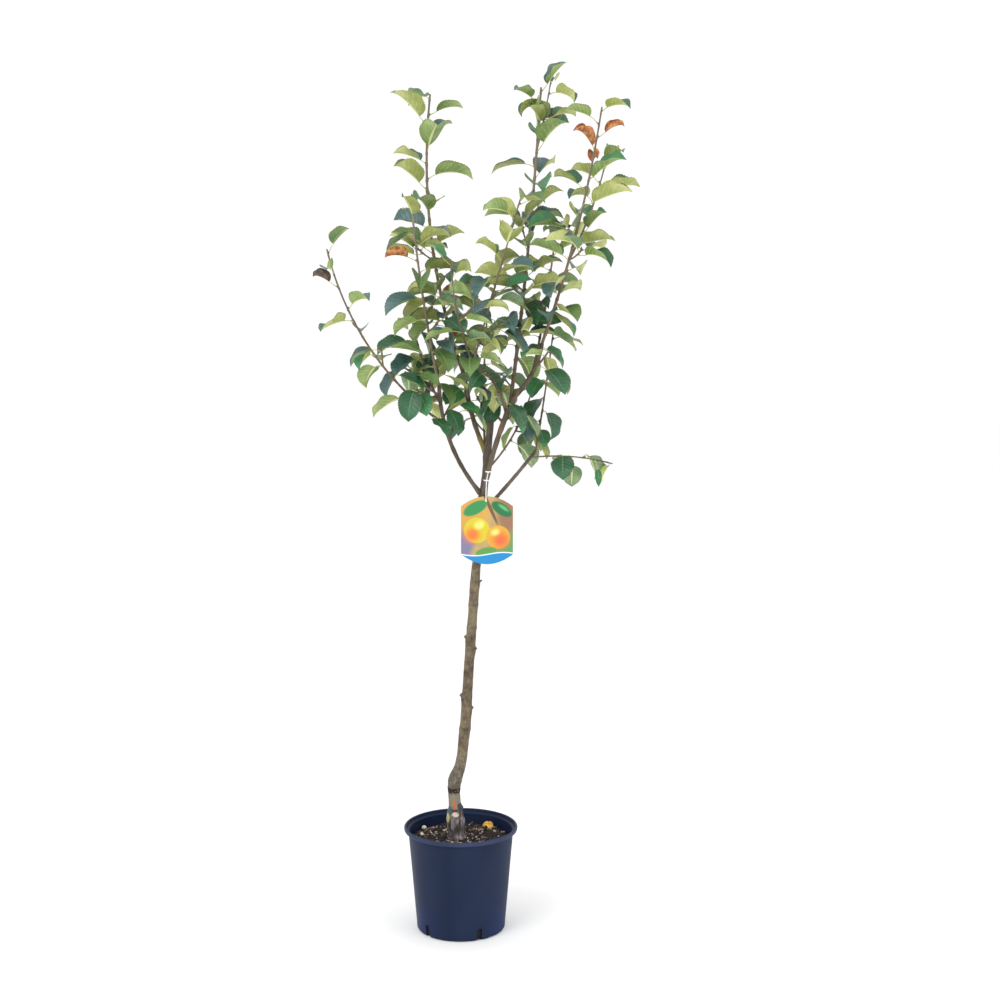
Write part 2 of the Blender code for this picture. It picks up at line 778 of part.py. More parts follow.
def keep_largest(obj):
    """Drops loose scraps that a cut has left."""
    bm = bmesh.new()
    bm.from_mesh(obj.data)
    left = set(bm.verts)
    bodies = []
    while left:
        body = {left.pop()}
        front = set(body)
        while front:
            front = {edge.other_vert(vert) for vert in front for edge in vert.link_edges} - body
            body |= front
        left -= body
        bodies.append(body)
    bodies.sort(key=len)
    for body in bodies[:-1]:
        bmesh.ops.delete(bm, geom=list(body), context="VERTS")
    bm.to_mesh(obj.data)
    bm.free()


def build_mass(name, twigs, leaves, boughs, green):
    """One mass: its first stem, with every other twig and leaf fused on."""
    first = MASSES[name][0]
    mass = build_limb(f"foliage_{name}", twigs["main"], first, boughs, 6, STEM_STEP)
    mass.data.materials.clear()
    mass.data.materials.append(green)
    pieces = helpers(f"Pieces of {name}")
    for twig, path in twigs.items():
        if twig != "main":
            hide(lofted("Twig", limb_sections(path, 3, STEM_STEP, 0.0004), pieces))
    for leaf in leaves:
        hide(lofted("Leaf", leaf_sections(leaf), pieces))
    if pieces.objects:
        combine(mass, "UNION", pieces, "MANIFOLD")
    keep_largest(mass)


def tag_outline():
    """The card's rim: straight sides between a bowed top and a bowed foot."""
    half = TAG_WIDTH / 2
    shoulder = TAG_SHOULDER / 2
    bow = TAG_HEIGHT / 2 - shoulder
    corners = []
    for sign in (1, -1):
        for step in range(13):
            share = 1 - step / 6
            across = sign * half * share
            corners.append((across, sign * (shoulder + bow * (1 - share * share))))
    return corners


def curve_plate(name, rims, thick):
    """A flat plate from closed rims, the first the outer one, standing upright to face -Y."""
    curve = bpy.data.curves.new(name, "CURVE")
    curve.dimensions = "2D"
    curve.fill_mode = "BOTH"
    curve.extrude = thick / 2
    for rim in rims:
        spline = curve.splines.new("POLY")
        spline.points.add(len(rim) - 1)
        spline.use_cyclic_u = True
        for point, (across, up) in zip(spline.points, rim):
            point.co = (across, up, 0.0, 1.0)
    helper = add_object(name, curve)
    helper.matrix_world = Matrix.Translation(TAG_CENTRE) @ Matrix.Rotation(math.pi / 2, 4, "X")
    bpy.context.view_layer.update()
    graph = bpy.context.evaluated_depsgraph_get()
    mesh = bpy.data.meshes.new_from_object(helper.evaluated_get(graph))
    mesh.transform(helper.matrix_world)
    bpy.data.objects.remove(helper, do_unlink=True)
    bm = bmesh.new()
    bm.from_mesh(mesh)
    bmesh.ops.remove_doubles(bm, verts=bm.verts, dist=1e-5)
    bmesh.ops.recalc_face_normals(bm, faces=bm.faces)
    bm.to_mesh(mesh)
    bm.free()
    return add_object(name, mesh)


def circle(centre, radius, sides):
    turns = [2 * math.pi * i / sides for i in range(sides)]
    return [(centre[0] + radius * math.cos(a), centre[1] + radius * math.sin(a)) for a in turns]


def build_tag():
    centre = (TAG_HOLE[0] - TAG_CENTRE[0], TAG_HOLE[1] - TAG_CENTRE[2])
    rims = [tag_outline(), circle(centre, TAG_HOLE_RADIUS, 12)]
    card = curve_plate("tag_card", rims, TAG_THICK)
    card.data.materials.append(material("tag_card_print", (0.75, 0.55, 0.12), 0.35))


def ribbon_section(centre, across, outward, width, thick):
    corners = ((-1, -1), (1, -1), (1, 1), (-1, 1))
    half = [0.5 * (a * width * across + b * thick * outward) for a, b in corners]
    return np.array([centre + offset for offset in half])


def bough_at_height(path, height):
    share = np.interp(height, path.points[:, 2], path.run) / path.length
    return path.at(share), path.radius(share)


def build_strap(boughs):
    """Two bands round the right bough, joined by a strip that hangs down to the card's hole."""
    path = boughs["right"]
    inner = []
    for height in STRAP_BANDS:
        centre, radius = bough_at_height(path, height)
        inner.append((centre, radius + STRAP_CLEAR + STRAP_THICK / 2))
    pieces = helpers("Strap pieces")
    up = np.array([0.0, 0.0, 1.0])
    for index, (centre, radius) in enumerate(inner):
        rings = []
        for turn in np.linspace(0, 2 * math.pi, 14, endpoint=False):
            outward = np.array([math.cos(turn), math.sin(turn), 0.0])
            middle = centre + outward * radius
            rings.append(ribbon_section(middle, up, outward, STRAP_WIDTH, STRAP_THICK))
        hide(hoop(f"Band {index}", rings, pieces))
    front = np.array([0.0, -1.0, 0.0])
    side = np.array([1.0, 0.0, 0.0])
    top, top_radius = inner[1]
    low, low_radius = inner[0]
    hole = np.array([TAG_HOLE[0], TAG_CENTRE[1] - TAG_THICK / 2 - 0.0012, TAG_HOLE[1] - 0.0004])
    course = [
        top + front * top_radius + up * STRAP_WIDTH * 0.4,
        low + front * low_radius,
        np.array([TAG_HOLE[0], TAG_CENTRE[1] - TAG_THICK / 2 - 0.0014, 0.932]),
        hole,
    ]
    sections = [
        ribbon_section(point, side, front, STRAP_WIDTH * 0.8, STRAP_THICK) for point in course
    ]
    strap = lofted("tag_strap", sections)
    peg = [
        hole + up * 0.0004 + np.array([x, y, z])
        for y in (0.0, TAG_THICK + 0.0030)
        for x, z in circle((0, 0), TAG_HOLE_RADIUS - GAP - 0.0003, 8)
    ]
    hide(lofted("Peg", [np.array(peg[:8]), np.array(peg[8:])], pieces))
    combine(strap, "UNION", pieces, "EXACT")
    strap.data.materials.clear()
    strap.data.materials.append(material("strap_plastic", (0.85, 0.86, 0.86), 0.4))


def hoop(name, rings, collection):
    """A closed band skinned over sections that return to the first."""
    count = len(rings)
    sides = len(rings[0])
    points = np.vstack(rings)
    faces = []
    for ring in range(count):
        following = (ring + 1) % count
        for i in range(sides):
            j = (i + 1) % sides
            faces.append((ring * sides + i, ring * sides + j, following * sides + j, following * sides + i))
    mesh = bpy.data.meshes.new(name)
    mesh.from_pydata(points.tolist(), [], faces)
    bm = bmesh.new()
    bm.from_mesh(mesh)
    bmesh.ops.recalc_face_normals(bm, faces=bm.faces)
    bm.to_mesh(mesh)
    bm.free()
    return add_object(name, mesh, collection)


def main():
    for obj in list(bpy.data.objects):
        bpy.data.objects.remove(obj, do_unlink=True)
    bpy.context.scene.collection.children.link(bpy.data.collections.new("Apple tree"))
    bark = material("bark", (0.20, 0.16, 0.11), 0.85)
    green = material("leaf_green", (0.10, 0.20, 0.09), 0.55)
    boughs = bough_paths()
    build_pot()
    build_soil()
    build_trunk(boughs["trunk"], bark)
    for row in BOUGHS:
        limb = build_limb(f"bough_{row.name}", boughs[row.name], row, boughs, BOUGH_SIDES, BOUGH_STEP)
        limb.data.materials.clear()
        limb.data.materials.append(bark)
        smooth(limb, 50)
    crown = grow_crown(boughs)
    for name, (twigs, leaves) in crown.items():
        build_mass(name, twigs, leaves, boughs, green)
    build_tag()
    build_strap(boughs)
    print("leaves", sum(len(leaves) for _, leaves in crown.values()))


if __name__ == "__main__":
    main()
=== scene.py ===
"""The looks of the dwarf apple tree in its nursery pot, in metres with Z up.

The crown grows by the rule of the part's source, so every twig and leaf stands where the
solids have it. Here the leaves get a toothed edge, a curved blade and their veins, the twigs
get buds, and the trunk and boughs get the bark's relief.
"""

import itertools
import json
import math
import random
from collections import namedtuple

import bmesh
import bpy
import numpy as np
from mathutils import Matrix, Vector, noise
from mathutils.bvhtree import BVHTree

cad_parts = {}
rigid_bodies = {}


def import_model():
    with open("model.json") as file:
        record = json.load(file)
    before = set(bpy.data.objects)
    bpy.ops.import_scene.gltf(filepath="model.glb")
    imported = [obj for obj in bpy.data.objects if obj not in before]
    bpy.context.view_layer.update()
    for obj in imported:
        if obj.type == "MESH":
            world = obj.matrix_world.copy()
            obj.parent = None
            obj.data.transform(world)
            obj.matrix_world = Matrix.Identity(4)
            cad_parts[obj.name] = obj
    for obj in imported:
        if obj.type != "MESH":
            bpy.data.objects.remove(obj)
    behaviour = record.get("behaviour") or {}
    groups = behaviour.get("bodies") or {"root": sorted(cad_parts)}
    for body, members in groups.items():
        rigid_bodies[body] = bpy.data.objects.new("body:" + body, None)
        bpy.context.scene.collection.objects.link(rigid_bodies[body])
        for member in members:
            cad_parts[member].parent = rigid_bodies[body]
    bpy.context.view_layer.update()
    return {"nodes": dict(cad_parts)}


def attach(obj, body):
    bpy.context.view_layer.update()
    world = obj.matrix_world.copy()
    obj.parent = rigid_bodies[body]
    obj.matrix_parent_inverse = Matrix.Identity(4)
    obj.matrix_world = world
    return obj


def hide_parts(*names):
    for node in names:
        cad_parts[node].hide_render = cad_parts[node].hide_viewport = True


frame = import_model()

GAP = 0.0003  # the clear space between pieces that meet

# The pot, a round nursery container of 24 cm
POT_HEIGHT = 0.222
POT_WALL = 0.0022
POT_FLOOR = 0.0035
RIM_RADIUS = 0.120
RIM_HEIGHT = 0.0095
RIM_WALL = 0.006
BODY_TOP_RADIUS = 0.1110
BASE_RADIUS = 0.0930
DRAIN_COUNT = 5
DRAIN_START = -136.5
DRAIN_WIDTH = 0.011
DRAIN_HEIGHT = 0.026
DRAIN_REACH = 0.012
DRAIN_CORNER = 0.0032
SOIL_TOP = 0.194

# The trunk from the soil to its pruned end, each row a height, the centre's X and a diameter
TRUNK = (
    (0.194, -0.0090, 0.0400),
    (0.205, -0.0095, 0.0365),
    (0.236, -0.0105, 0.0350),
    (0.250, -0.0120, 0.0310),
    (0.262, -0.0124, 0.0268),
    (0.300, -0.0144, 0.0256),
    (0.320, -0.0126, 0.0308),
    (0.332, -0.0078, 0.0280),
    (0.350, -0.0006, 0.0242),
    (0.380, 0.0042, 0.0230),
    (0.408, 0.0069, 0.0242),
    (0.450, 0.0110, 0.0234),
    (0.560, 0.0176, 0.0220),
    (0.740, 0.0305, 0.0204),
    (0.860, 0.0420, 0.0190),
    (0.940, 0.0500, 0.0166),
    (1.082, 0.0645, 0.0146),
)

# Spur stubs on the trunk: height, bearing, how far they stand out, thickness and end thickness
KNOBS = (
    (0.250, -90, 0.0035, 0.0190, 0.0150),
    (0.739, 2, 0.0065, 0.0070, 0.0030),
    (0.622, 185, 0.0035, 0.0110, 0.0060),
    (0.598, -8, 0.0032, 0.0130, 0.0080),
    (0.497, 178, 0.0038, 0.0130, 0.0070),
    (0.471, 5, 0.0030, 0.0120, 0.0080),
)

# Limbs and stems start at a height on the trunk, or at a share of their parent's length
Limb = namedtuple("Limb", "name parent at bearing lean bearing_end lean_end length thick thin")
Stem = namedtuple("Stem", Limb._fields + ("bare", "spacing", "spurs"))

BOUGHS = (
    Limb("left", "trunk", 0.923, -160, 41, -96, 17, 0.262, 0.0090, 0.0075),
    Limb("back_left", "trunk", 1.008, 138, 34, 123, 13, 0.172, 0.0108, 0.0090),
    Limb("right", "trunk", 0.862, -71, 12, 3, 25, 0.282, 0.0092, 0.0120),
    Limb("right_upper", "right", 1.0, -9, 46, -40, 11, 0.125, 0.0100, 0.0080),
    Limb("low_right", "trunk", 0.888, 14, 45, 25, 42, 0.173, 0.0086, 0.0070),
)
BOUGH_SIDES = 10
BOUGH_STEP = 0.04


def spur(parent, at, bearing, lean, bearing_end, lean_end, length, thick):
    """A short leafy spur on a bough."""
    headings = (bearing, lean, bearing_end, lean_end)
    return Stem("main", parent, at, *headings, length, thick, 0.0042, 0.3, 0.014, 0)


# Each mass of leaves, as its seed and its stems. The first stem starts at a bough or the trunk.
# A stem is bare up to a share of its length, then leafy at a spacing, and bears a count of spurs.
MASSES = {
    "left_leader": (51, [
        Stem("main", "back_left", 1.0, 155, 22, 54, 10, 0.602, 0.0090, 0.0050, 0.02, 0.027, 4),
    ]),
    "centre_leader": (19, [
        Stem("main", "right", 0.92, 57, 14, 74, 13, 0.669, 0.0098, 0.0050, 0.02, 0.025, 5),
        Stem("second", "main", 0.80, 7, 14, 50, 14, 0.148, 0.0045, 0.0030, 0.15, 0.022, 0),
    ]),
    "right_leader": (4, [
        Stem("main", "right_upper", 1.0, -21, 21, -44, 11, 0.480, 0.0078, 0.0038, 0.04, 0.025, 4),
        Stem("second", "main", 0.36, 34, 33, 57, 21, 0.254, 0.0050, 0.0032, 0.25, 0.026, 0),
    ]),
    "far_left": (33, [
        Stem("main", "left", 0.68, -167, 54, -130, 18, 0.438, 0.0065, 0.0036, 0.06, 0.035, 2),
    ]),
    "left_inner": (87, [
        Stem("main", "left", 1.0, 120, 24, 109, 18, 0.393, 0.0070, 0.0042, 0.05, 0.026, 3),
    ]),
    "cross": (22, [
        Stem("main", "right", 0.85, 113, 25, -130, 72, 0.150, 0.0065, 0.0050, 0.3, 0.030, 1),
        Stem("v_left", "main", 0.98, -123, 34, -92, 31, 0.242, 0.0045, 0.0032, 0.05, 0.028, 1),
        Stem("v_right", "main", 0.96, -32, 19, -27, 18, 0.340, 0.0048, 0.0035, 0.05, 0.028, 2),
    ]),
    "thin": (60, [
        Stem("main", "right", 0.45, 53, 61, 56, 25, 0.246, 0.0050, 0.0036, 0.35, 0.026, 1),
    ]),
    "low_up": (97, [
        Stem("main", "low_right", 1.0, 40, 13, 45, 10, 0.245, 0.0050, 0.0036, 0.1, 0.028, 1),
    ]),
    "low_out": (87, [
        Stem("main", "low_right", 0.90, -5, 83, -19, 103, 0.174, 0.0042, 0.0032, 0.2, 0.022, 0),
    ]),
    "back": (108, [
        Stem("main", "trunk", 0.985, 96, 40, 80, 22, 0.340, 0.0070, 0.0042, 0.35, 0.028, 2),
    ]),
    "back_right": (133, [
        Stem("main", "right_upper", 0.5, 75, 45, 70, 20, 0.320, 0.0065, 0.0042, 0.2, 0.028, 2),
    ]),
    "left_back": (41, [
        Stem("main", "left", 0.85, 120, 50, 110, 25, 0.260, 0.0060, 0.0042, 0.2, 0.028, 2),
    ]),
    "spur_left": (56, [spur("left", 0.93, 175, 62, 178, 50, 0.085, 0.0055)]),
    "spur_left_low": (113, [spur("left", 0.74, 60, 50, 60, 40, 0.060, 0.0050)]),
    "spur_back_left": (118, [spur("back_left", 0.75, -95, 60, -90, 40, 0.060, 0.0055)]),
    "spur_right": (115, [spur("right", 0.80, 40, 60, 30, 50, 0.055, 0.0055)]),
    "spur_right_front": (16, [spur("right", 0.90, -120, 60, -120, 40, 0.055, 0.0055)]),
    "spur_right_upper": (35, [spur("right_upper", 0.55, -60, 60, -50, 45, 0.060, 0.0055)]),
}
PATH_STEPS = 24
STEM_STEP = 0.09
TIP_BARE = 0.012

# Leaves: round and hanging low in the shade, longer, folded and raised high in the light
DIVERGENCE = 144.0
SHADE_LENGTH = 0.062
SUN_LENGTH = 0.075
SHADE_WIDTH = 0.86
SUN_WIDTH = 0.76
BLADE_THICK = 0.0011
STALK_LENGTH = (0.018, 0.028)
STALK_RADIUS = 0.0009
SHADE_HEIGHT = 1.02
SUN_HEIGHT = 1.42
CLEAR = 0.0011  # kept round a blade when it looks for its place
BLADE_ROWS = (0.24, 0.66)
TURNS = (
    (0, 0), (28, 0), (-28, 0), (0, 18), (50, -12), (-50, -12), (0, -26), (85, 0), (-85, 0),
)
Leaf = namedtuple(
    "Leaf", "root out stalk base bearing rise sag roll twist fold length width withered"
)

# The middle of the hang tag in front of the trunk
TAG_CENTRE = (0.0562, -0.0225, 0.8562)


def unit(vector):
    return vector / np.linalg.norm(vector)


def between(first, last, share):
    return first + (last - first) * share


def heading(bearing, lean):
    turn = math.radians(bearing)
    tip = math.radians(lean)
    return np.array(
        [math.sin(tip) * math.cos(turn), math.sin(tip) * math.sin(turn), math.cos(tip)]
    )


def sides_of(course):
    """Two directions square to a course, and to each other."""
    guide = np.array([0.0, 1.0, 0.0]) if abs(course[1]) < 0.8 else np.array([1.0, 0.0, 0.0])
    side = unit(np.cross(course, guide))
    return side, np.cross(course, side)


class Path:
    """The centre line of a limb, with a radius at each of its points."""

    def __init__(self, points, radii):
        self.points = np.asarray(points, float)
        self.radii = np.asarray(radii, float)
        steps = np.linalg.norm(np.diff(self.points, axis=0), axis=1)
        self.run = np.concatenate([[0.0], np.cumsum(steps)])
        self.length = float(self.run[-1])

    def at(self, share):
        along = share * self.length
        return np.array([np.interp(along, self.run, self.points[:, i]) for i in range(3)])

    def radius(self, share):
        return float(np.interp(share * self.length, self.run, self.radii))

    def tangent(self, share):
        low = max(0.0, share - 0.02)
        high = min(1.0, share + 0.02)
        return unit(self.at(high) - self.at(low))

    def ring(self, share, sides, extra=0.0):
        """Points round the limb, in the plane square to it."""
        side, other = sides_of(self.tangent(share))
        turns = 2 * math.pi * (np.arange(sides) + 0.5) / sides
        reach = self.radius(share) + extra
        around = np.outer(np.cos(turns), side) + np.outer(np.sin(turns), other)
        return self.at(share) + reach * around


def trunk_path():
    rows = np.array(TRUNK)
    heights = np.linspace(SOIL_TOP + GAP, rows[-1, 0], 181)
    across = np.interp(heights, rows[:, 0], rows[:, 1])
    across = np.convolve(np.pad(across, 2, "edge"), np.ones(5) / 5, "valid")
    radii = np.interp(heights, rows[:, 0], rows[:, 2]) / 2
    return Path(np.stack([across, np.zeros_like(heights), heights], 1), radii)


def grown_path(start, row):
    """An arc from one heading to another, blended evenly along its length."""
    blend = ((np.arange(PATH_STEPS) + 0.5) / PATH_STEPS)[:, None]
    first = heading(row.bearing, row.lean)
    last = heading(row.bearing_end, row.lean_end)
    course = first * (1 - blend) + last * blend
    course /= np.linalg.norm(course, axis=1)[:, None]
    steps = np.cumsum(course * row.length / PATH_STEPS, axis=0)
    radii = np.linspace(row.thick, row.thin, PATH_STEPS + 1) / 2
    return Path(np.vstack([start, start + steps]), radii)


def limb_start(paths, row):
    parent = paths[row.parent]
    if row.parent == "trunk":
        heights = parent.points[:, 2]
        return np.array([np.interp(row.at, heights, parent.points[:, i]) for i in range(3)])
    if row.at == 1.0:
        return parent.at(1.0) + GAP * parent.tangent(1.0)
    return parent.at(row.at)


def bough_paths():
    paths = {"trunk": trunk_path()}
    for row in BOUGHS:
        paths[row.name] = grown_path(limb_start(paths, row), row)
    return paths


def away_from(path, share, turn):
    """A direction square to the limb, turned round it from the +X side."""
    along = path.tangent(share)
    guide = np.array([1.0, 0.0, 0.0]) if abs(along[0]) < 0.8 else np.array([0.0, 1.0, 0.0])
    first = unit(guide - along * (along @ guide))
    second = np.cross(along, first)
    angle = math.radians(turn)
    return first * math.cos(angle) + second * math.sin(angle)


def blade_heading(bearing, rise):
    turn = math.radians(bearing)
    up = math.radians(rise)
    return np.array([math.cos(up) * math.cos(turn), math.cos(up) * math.sin(turn), math.sin(up)])


def leaf_at(path, share, turn, rng, size):
    """A leaf whose place on its twig is set, with its lie and size drawn by chance."""
    root = path.at(share)
    away = away_from(path, share, turn)
    spread = math.radians(rng.uniform(40, 62))
    out = unit(path.tangent(share) * math.cos(spread) + away * math.sin(spread))
    light = min(1.0, max(0.0, (root[2] - SHADE_HEIGHT) / (SUN_HEIGHT - SHADE_HEIGHT)))
    withered = rng.random() < 0.03 + 0.08 * light * (share > 0.6)
    bearing = math.degrees(math.atan2(away[1], away[0])) + rng.gauss(0, 20)
    rise = -50 + 78 * light + rng.gauss(0, 15)
    sag = max(12.0, 30 + rng.gauss(0, 12))
    roll = rng.gauss(0, 16)
    twist = rng.gauss(0, 14)
    fold = min(52.0, max(6.0, 12 + 28 * light + rng.gauss(0, 8)))
    length = size * between(SHADE_LENGTH, SUN_LENGTH, light) * rng.uniform(0.82, 1.18)
    width = length * between(SHADE_WIDTH, SUN_WIDTH, light) * rng.uniform(0.92, 1.08)
    stalk = rng.uniform(*STALK_LENGTH)
    if withered:
        fold = 62.0
        width *= 0.8
        length *= 0.75
    lie = (bearing, rise, sag, roll, twist, fold)
    return turned(Leaf(root, out, stalk, root, *lie, length, width, withered), 0, 0)


def turned(leaf, bearing, rise):
    """The leaf with its blade aimed aside, its stalk bending to it."""
    bearing = leaf.bearing + bearing
    rise = leaf.rise + rise
    bend = leaf.out * 0.55 + blade_heading(bearing, rise) * 0.45
    return leaf._replace(base=leaf.root + bend * leaf.stalk, bearing=bearing, rise=rise)


def blade_outline(t):
    """Half width at share t of the blade, as a share of its greatest."""
    low, high = 0.50, 0.74
    peak = low / (low + high)
    return t**low * (1 - t) ** high / (peak**low * (1 - peak) ** high)


def blade_frame(leaf, t):
    """Midrib point, direction, side and upper normal at share t of the blade."""
    turn = math.radians(leaf.bearing)
    first = math.radians(leaf.rise)
    sag = math.radians(leaf.sag)
    now = first - sag * t
    flat = np.array([math.cos(turn), math.sin(turn), 0.0])
    up = np.array([0.0, 0.0, 1.0])
    run = (math.sin(first) - math.sin(now)) / sag
    climb = (math.cos(now) - math.cos(first)) / sag
    middle = leaf.base + leaf.length * (flat * run + up * climb)
    along = flat * math.cos(now) + up * math.sin(now)
    side = np.array([-math.sin(turn), math.cos(turn), 0.0])
    normal = np.cross(along, side)
    roll = math.radians(leaf.roll + leaf.twist * t)
    turned_side = side * math.cos(roll) + normal * math.sin(roll)
    return middle, along, turned_side, normal * math.cos(roll) - side * math.sin(roll)


def blade_section(leaf, t, thick, widen):
    """Left edge, top, right edge and underside of the folded blade."""
    middle, _, side, normal = blade_frame(leaf, t)
    fold = math.radians(leaf.fold)
    reach = widen * 0.5 * leaf.width * blade_outline(t)
    lift = math.sin(fold) * reach * normal
    across = math.cos(fold) * reach * side
    half = 0.5 * thick * normal
    return np.array([middle + across + lift, middle + half, middle - across + lift, middle - half])


def stalk_section(leaf, point, radius):
    """A small diamond square to the stalk, its corners in the order of a blade section's."""
    course = unit(leaf.base - leaf.root)
    side = blade_frame(leaf, 0.0)[2]
    side = unit(side - course * (side @ course))
    over = np.cross(course, side)
    return point + radius * np.array([side, over, -side, -over])


def leaf_sections(leaf):
    """The whole leaf, from its root in the twig's middle to its tip."""
    sections = [stalk_section(leaf, leaf.root, STALK_RADIUS * 0.8)]
    sections.append(stalk_section(leaf, leaf.base, STALK_RADIUS))
    sections += [blade_section(leaf, t, BLADE_THICK, 1.04) for t in BLADE_ROWS]
    sections.append(blade_frame(leaf, 1.0)[0][None])
    return sections


def guard_sections(leaf):
    """A slightly fatter blade, and the outer half of the stalk, for the touch test."""
    thick = BLADE_THICK + 2 * CLEAR
    blade = [stalk_section(leaf, leaf.base, STALK_RADIUS + CLEAR)]
    blade += [blade_section(leaf, t, thick, 1.08) for t in BLADE_ROWS]
    tip, along, _, _ = blade_frame(leaf, 1.0)
    blade.append((tip + CLEAR * along)[None])
    inner = leaf.root * 0.75 + leaf.base * 0.25
    stalk = [stalk_section(leaf, point, STALK_RADIUS + CLEAR) for point in (inner, leaf.base)]
    return blade, stalk


def loft(sections):
    """Points and faces of a closed skin over sections, the last of which may be one point.

    Diagonals run from even corners to the next section's odd ones, so that the two skins
    of a thin leaf bend alike and never cross.
    """
    points = np.vstack(sections)
    sides = len(sections[0])
    faces = [tuple(range(sides))]
    row = 0
    for section in sections[1:]:
        following = row + sides
        for i in range(sides):
            j = (i + 1) % sides
            if len(section) == 1:
                faces.append((row + j, row + i, following))
            elif i % 2 == 0:
                faces.append((row + j, row + i, following + j))
                faces.append((row + i, following + i, following + j))
            else:
                faces.append((row + j, row + i, following + i))
                faces.append((row + j, following + i, following + j))
        row = following
    if len(sections[-1]) > 1:
        faces.append(tuple(range(row + sides - 1, row - 1, -1)))
    return points, faces


class Space:
    """What already stands in the crown."""

    def __init__(self):
        self.trees = []
        self.owners = []
        self.low = np.zeros((0, 3))
        self.high = np.zeros((0, 3))

    def add(self, sections, owner):
        points, faces = loft(sections)
        self.trees.append(BVHTree.FromPolygons(points.tolist(), faces))
        self.owners.append(owner)
        self.low = np.vstack([self.low, points.min(0)])
        self.high = np.vstack([self.high, points.max(0)])

    def is_clear(self, sections, but=None):
        points, faces = loft(sections)
        near = (self.low <= points.max(0)).all(1) & (self.high >= points.min(0)).all(1)
        tree = None
        for i in np.nonzero(near)[0]:
            if self.owners[i] == but:
                continue
            tree = tree or BVHTree.FromPolygons(points.tolist(), faces)
            if tree.overlap(self.trees[i]):
                return False
        return True


def limb_sections(path, sides, step, extra=0.0):
    count = max(2, round(path.length / step))
    return [path.ring(i / count, sides, extra) for i in range(count + 1)]


def spur_path(path, count, index, key):
    """A short side twig, drawn by chance along its stem, and its turn round it."""
    rng = random.Random(f"{key} spur {index}")
    share = 0.05 + 0.46 * (index + rng.uniform(0.1, 0.9)) / count
    turn = rng.uniform(0, 360)
    aim = unit(path.tangent(share) * 0.55 + away_from(path, share, turn))
    bearing = math.degrees(math.atan2(aim[1], aim[0]))
    lean = math.degrees(math.acos(aim[2]))
    length = rng.uniform(0.03, 0.07)
    row = Limb("", "", share, bearing, lean, bearing, lean * 0.6, length, 0.0042, 0.0034)
    return grown_path(path.at(share), row), turn


def vigour(row):
    """How large a stem's leaves grow: a thin shoot bears smaller ones."""
    return min(1.0, 0.62 + 42 * row.thick)


def stem_leaves(path, row, key, first_turn):
    """The leaves in a spiral along a stem, as they would stand with nothing in the way."""
    leafy = row.length * (1 - row.bare) - TIP_BARE
    count = int(leafy / row.spacing) + 1
    for k in range(count):
        rng = random.Random(f"{key} leaf {k}")
        along = row.length * row.bare + leafy * k / max(1, count - 1)
        if 0 < k < count - 1:
            along += rng.uniform(-0.25, 0.25) * row.spacing
        size = vigour(row) * (1.0 if k < count - 2 else 0.85)
        turn = first_turn + DIVERGENCE * k + rng.gauss(0, 12)
        yield leaf_at(path, along / row.length, turn, rng, size)


def spur_leaves(path, turn, key, index):
    count = 3 + random.Random(f"{key} rosette {index}").randint(0, 2)
    for j in range(count):
        rng = random.Random(f"{key} spur {index} leaf {j}")
        share = 0.50 + 0.42 * (j + 1) / count
        yield leaf_at(path, share, turn + DIVERGENCE * j, rng, rng.uniform(0.85, 0.95))


def placed(leaf, space, owner):
    """The leaf, turned aside if it must be, or None where nothing fits."""
    for bearing, rise in TURNS:
        candidate = turned(leaf, bearing, rise)
        blade, stalk = guard_sections(candidate)
        if space.is_clear(blade) and space.is_clear(stalk, but=owner):
            space.add(leaf_sections(candidate), "leaf")
            return candidate
    return None


def mass_stems(boughs):
    """The paths of every mass's stems, by mass and stem name."""
    masses = {}
    for name, (_, rows) in MASSES.items():
        paths = {}
        for row in rows:
            known = paths if row.parent in paths else boughs
            paths[row.name] = grown_path(limb_start(known, row), row)
        masses[name] = paths
    return masses


def wanted_growth(name, paths):
    """Each stem's leaves and spurs, in the order they look for their place."""
    seed, rows = MASSES[name]
    for row in rows:
        key = f"{name} {row.name} {seed}"
        turn = random.Random(key).uniform(0, 360)
        yield row.name, paths[row.name], list(stem_leaves(paths[row.name], row, key, turn))
        for index in range(row.spurs):
            path, spur_turn = spur_path(paths[row.name], row.spurs, index, key)
            yield f"{row.name} {index}", path, list(spur_leaves(path, spur_turn, key, index))


def grow_crown(boughs):
    """Every mass as its twigs and leaves, none touching another mass or a limb."""
    space = Space()
    for path in boughs.values():
        space.add(limb_sections(path, BOUGH_SIDES, BOUGH_STEP, CLEAR), "bough")
    stems = mass_stems(boughs)
    for name, paths in stems.items():
        for stem, path in paths.items():
            space.add(limb_sections(path, 6, STEM_STEP, CLEAR), (name, stem))
    crown = {}
    for name, paths in stems.items():
        twigs = dict(paths)
        leaves = []
        for stem, path, wanted in wanted_growth(name, paths):
            owner = (name, stem)
            if stem not in paths:
                outer = [path.ring(share, 4, CLEAR) for share in (0.25, 1.0)]
                if not space.is_clear(outer):
                    continue
                twigs[stem] = path
                space.add(limb_sections(path, 6, STEM_STEP, 0.0), owner)
            leaves += [leaf for leaf in (placed(leaf, space, owner) for leaf in wanted) if leaf]
        crown[name] = (twigs, leaves)
    return crown


def wall_radius(height):
    """Outer radius of the pot's body at a height."""
    share = height / (POT_HEIGHT - RIM_HEIGHT)
    return BASE_RADIUS + (BODY_TOP_RADIUS - BASE_RADIUS) * share


# Colour and shader helpers


def tone(red, green, blue):
    """A colour as a screen shows it, from 0 to 255 each, turned into light."""
    made = []
    for value in (red, green, blue):
        value /= 255
        made.append(value / 12.92 if value < 0.04045 else ((value + 0.055) / 1.055) ** 2.4)
    return (*made, 1.0)


